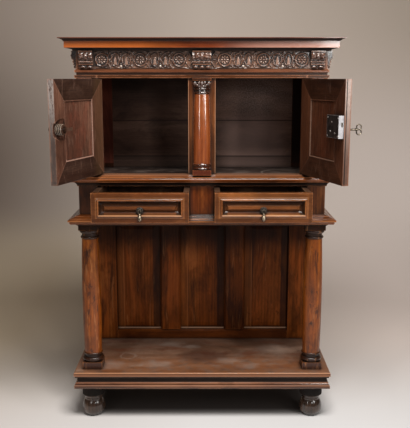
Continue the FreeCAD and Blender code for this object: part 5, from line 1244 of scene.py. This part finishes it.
DRAWER_DEPTH = 25.9
DRAWER_STEPS = outline([
    (0.0, DRAWER_DEPTH), (0.0, 0.8), (0.8, 0.0), (17.0, 0.0), (17.6, -1.2), (26.0, -7.0, -0.16),
    (27.6, -7.4, -0.1), (28.8, -6.4), (34.0, 3.0, 0.08), (41.4, 11.4, -0.06), (42.2, 11.8),
    (51.6, 3.8, -0.06), (52.2, 2.2), (53.0, 1.0), (56.0, 0.8)], 6)
PULL_LEVEL = DRAWER_STAGE + DRAWER_LEVELS[0] + 49.0
PULL_PLACE = sum(DRAWER_SIDES) / 2
DROP_FORWARD = 9.0
ROSE = outline([(12.5, 0.0), (13.0, 1.5), (9.0, 4.2, 0.2), (7.0, 3.2), (6.2, 3.0), (4.6, 5.6, 0.3),
                (3.5, 6.0)], 6)
PEAR = outline([(0.0, -41.5), (2.2, -41.0, 0.2), (2.6, -39.0), (4.0, -38.0, 0.3), (4.2, -36.5),
                (6.8, -30.0, 0.12), (6.6, -26.5, 0.12), (3.2, -18.0, -0.08), (3.0, -16.5),
                (4.6, -15.0, 0.35), (4.4, -12.4, 0.2), (2.8, -11.4), (2.6, -10.2)], 6)


def petals(angle, radius, height):
    """Eight petals round a rose's rim."""
    return 1.3 * math.cos(angle * 8) if radius > 8 else 0.0


# Each front is a border, a mitred roll, a sunk ground and a raised field
for word, side in SIDES:
    face = FRONT - DRAWER_OUT[word]
    data = ring_relief(sorted(side * edge for edge in DRAWER_SIDES),
                       [DRAWER_STAGE + edge for edge in DRAWER_LEVELS], DRAWER_STEPS, face)
    rear = [vertex for vertex in data.verts if abs(vertex.co.y - (face + DRAWER_DEPTH) * MM) < 1e-6]
    data.faces.new(rear)
    front = finish_mesh(word + "_drawer_panel", data, "drawer_front", word + "_drawer",
                        28)
    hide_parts(word + "_drawer_front")

# Each pull has petals round its rose, and a turned drop round the plain one
for word, side in SIDES:
    place = Vector((side * PULL_PLACE, FRONT - DRAWER_OUT[word] + 1.0, PULL_LEVEL))
    finish_mesh(word + "_pull_petals", lathe(ROSE, 64, displace=petals), "dark_iron",
                word + "_drawer", 45,
                Matrix.Translation(place * MM) @ Matrix.Rotation(math.radians(90), 4, "X"))
    place.y -= DROP_FORWARD
    finish_mesh(word + "_pull_pear", lathe(PEAR, 32), "pull_metal", word + "_pull_drop",
                45, Matrix.Translation(place * MM))


# Doors

DOOR_SPAN = (71.0, 277.5)
DOOR_LEVELS = (RIM + 84.0, RIM + 299.0)
DOOR_FOOT, DOOR_HEAD = RIM + 4.0, FRIEZE - 3.0
DOOR_FREE = 357.5
BORDER_START = 62.0
BORDER_HALF, BORDER_RISE, BORDER_BASE = 6.5, 4.6, -6.8
OUTER_STEPS = outline([(-12.0, -6.9), (-12.0, -9.5), (-10.0, -10.5), (-4.0, -14.0, 0.25),
                       (0.0, -12.0, 0.2), (3.0, -8.0), (9.0, -4.0, 0.2), (12.0, 0.5),
                       (12.5, 1.8)], 5)
INNER_STEPS = outline([(-3.4, 12.0), (-3.2, 12.8), (-2.4, 13.3, 0.2), (-0.6, 13.3),
                       (0.4, 12.6, 0.2), (1.0, 11.0), (1.2, 9.4)], 4)

for word, side in SIDES:
    x = sorted(-side * edge for edge in DOOR_SPAN)
    borders = bmesh.new()
    ends = sorted((-side * BORDER_START, -side * (DOOR_FREE - 14.5)))
    for centre in (DOOR_FOOT + 8.0, DOOR_HEAD - 8.0):
        half_round(borders, "X", *ends, centre, BORDER_HALF, BORDER_RISE, BORDER_BASE)
    half_round(borders, "Z", DOOR_FOOT + 1.5, DOOR_HEAD - 1.5, -side * (DOOR_FREE - 8.0),
               BORDER_HALF, BORDER_RISE, BORDER_BASE)
    moulding = ring_relief(x, DOOR_LEVELS, OUTER_STEPS, cap=False)
    bead = ring_relief(x, DOOR_LEVELS, INNER_STEPS, cap=False)
    for ending, data, finish, sharp in (("_door_moulding", moulding, "_door_rail", 28),
                                        ("_door_inner_bead", bead, "_door_trim", 40),
                                        ("_door_border", borders, "_door_trim", 40)):
        finish_mesh(word + ending, data, word + finish, word + "_door", sharp,
                    door_matrix(side))


# Lock and catch

RIVETS = ((-346.0, 244.0), (-346.0, 179.0), (-268.0, 244.0), (-268.0, 179.0), (-300.0, 229.0),
          (-322.0, 189.0), (-290.0, 195.0))
LOCK_FACE = 37.0
CATCH_PLACE = Vector((323.5, 0.0, RIM + 201.0))

rivets = bmesh.new()
for x, up in RIVETS:
    ball(rivets, (x, LOCK_FACE, RIM + up), (3.0, 1.4, 3.0))
finish_mesh("lock_rivets", rivets, "rivet_iron", "right_door", 40, door_matrix(1))

RIBS = [(13.2, 4.8)]
for index in range(4):
    foot = 5.0 + index * 7.0
    RIBS += [(14.0, foot), (18.6, foot + 0.8), (20.6, foot + 2.2), (20.8, foot + 3.4),
             (19.4, foot + 5.0), (14.6, foot + 6.4)]
RIBS += [(13.2, 33.6)]
spindle = Matrix.Translation(CATCH_PLACE * MM) @ Matrix.Rotation(math.radians(-90), 4, "X")
finish_mesh("catch_ribs", lathe(RIBS, 40), "catch_ribs", "door_catch", 40,
            door_matrix(-1) @ spindle)


# Stage, light and camera

def paint_paper():
    """Pale floor that turns into a grey backdrop, darker towards the left, with a painted shadow
    beneath the piece.
    """
    graph = Graph("studio_paper")
    place = graph.add("ShaderNodeTexCoord").outputs["Object"]
    x, y, z = graph.add("ShaderNodeSeparateXYZ", None, Vector=place).outputs
    wide = graph.span(x, -1.8, 1.8, False)
    near = graph.span(x, -0.9, 0.9, False)
    high = graph.ramp(wide,
                      [(0.0, rgb(184, 169, 158)), (0.5, rgb(226, 212, 200)),
                       (1.0, rgb(198, 184, 170))])
    low = graph.ramp(wide,
                     [(0.0, rgb(132, 116, 105)), (0.5, rgb(222, 210, 200)),
                      (1.0, rgb(240, 226, 218))])
    far = graph.ramp(wide,
                     [(0.2, rgb(196, 178, 154)), (0.5, rgb(222, 211, 200)),
                      (0.8, rgb(226, 212, 204))])
    close = graph.ramp(near,
                       [(0.0, rgb(225, 218, 214)), (0.5, rgb(231, 229, 229)),
                        (1.0, rgb(223, 221, 221))])
    graph.colour = graph.mix(graph.span(y, -0.4, 0.9), close, far)
    # A painted shadow on the floor beneath the piece
    painted_shadow_beneath = graph.times(graph.span(graph.size(x), 0.56, 0.44),
                        graph.window(y, -0.2, -0.1, 0.35, 0.15))
    graph.paint(painted_shadow_beneath, 0.95, rgb(46, 37, 32))
    graph.paint(graph.span(z, 0.02, 0.5), 1.0, low)
    graph.paint(graph.span(z, 0.6, 2.1), 1.0, high)
    graph.surface(Roughness=0.9, Specular_IOR_Level=0.1)


def make_stage():
    """A sheet of paper that runs from the floor up the wall in one sweep."""
    line = outline([(-6.0, 0.0), (1.4, 0.0), (3.0, 1.6, 0.2071), (3.0, 6.0)], 24)
    data = bmesh.new()
    rows = [[data.verts.new((x, y, z)) for x in (-7.0, 7.0)] for y, z in line]
    skin(data, rows, False)
    for face in data.faces:
        face.smooth = True
    mesh = bpy.data.meshes.new("studio_sweep")
    data.to_mesh(mesh)
    data.free()
    mesh.materials.append(MATERIALS["studio_paper"])
    in_scene("studio_sweep", mesh)


def softbox(name, place, aim, size, power):
    """A rectangular soft light."""
    light = bpy.data.lights.new(name, "AREA")
    light.shape = "RECTANGLE"
    light.size, light.size_y = size
    light.energy = power
    light.color = (1.0, 0.98, 0.95)
    lamp = in_scene(name, light)
    lamp.location = place
    lamp.rotation_euler = (Vector(aim) - Vector(place)).to_track_quat("-Z", "Y").to_euler()


paint_paper()
make_stage()
softbox("key_top", (0.35, -1.9, 3.4), (0.0, -0.1, 0.8), (1.5, 0.8), 122.0)
softbox("strip_left", (-1.5, -2.4, 1.7), (0.0, -0.2, 1.1), (0.16, 1.1), 8.0)
softbox("strip_right", (2.0, -1.9, 1.8), (0.0, -0.2, 1.1), (0.5, 1.0), 20.0)
softbox("front_right", (1.14, -3.0, 1.86), (0.3, -0.1, 1.3), (0.45, 0.4), 11.0)

world = bpy.data.worlds.new("studio")
bpy.context.scene.world = world
world.use_nodes = True
world.node_tree.nodes["Background"].inputs[0].default_value = (1.0, 0.96, 0.92, 1.0)
world.node_tree.nodes["Background"].inputs[1].default_value = 0.06
bpy.context.scene.view_settings.view_transform = "Standard"

# The camera that was fitted to the photograph
FOCAL_LENGTH, PITCH = 59.76, 10.84

lens = bpy.data.cameras.new("camera")
lens.sensor_width = 36.0
lens.lens = FOCAL_LENGTH
camera = in_scene("camera", lens)
camera.location = (0.0124, -3.054, 1.446)
camera.rotation_euler = (math.radians(90 - PITCH), 0.0, 0.0)
bpy.context.scene.camera = camera
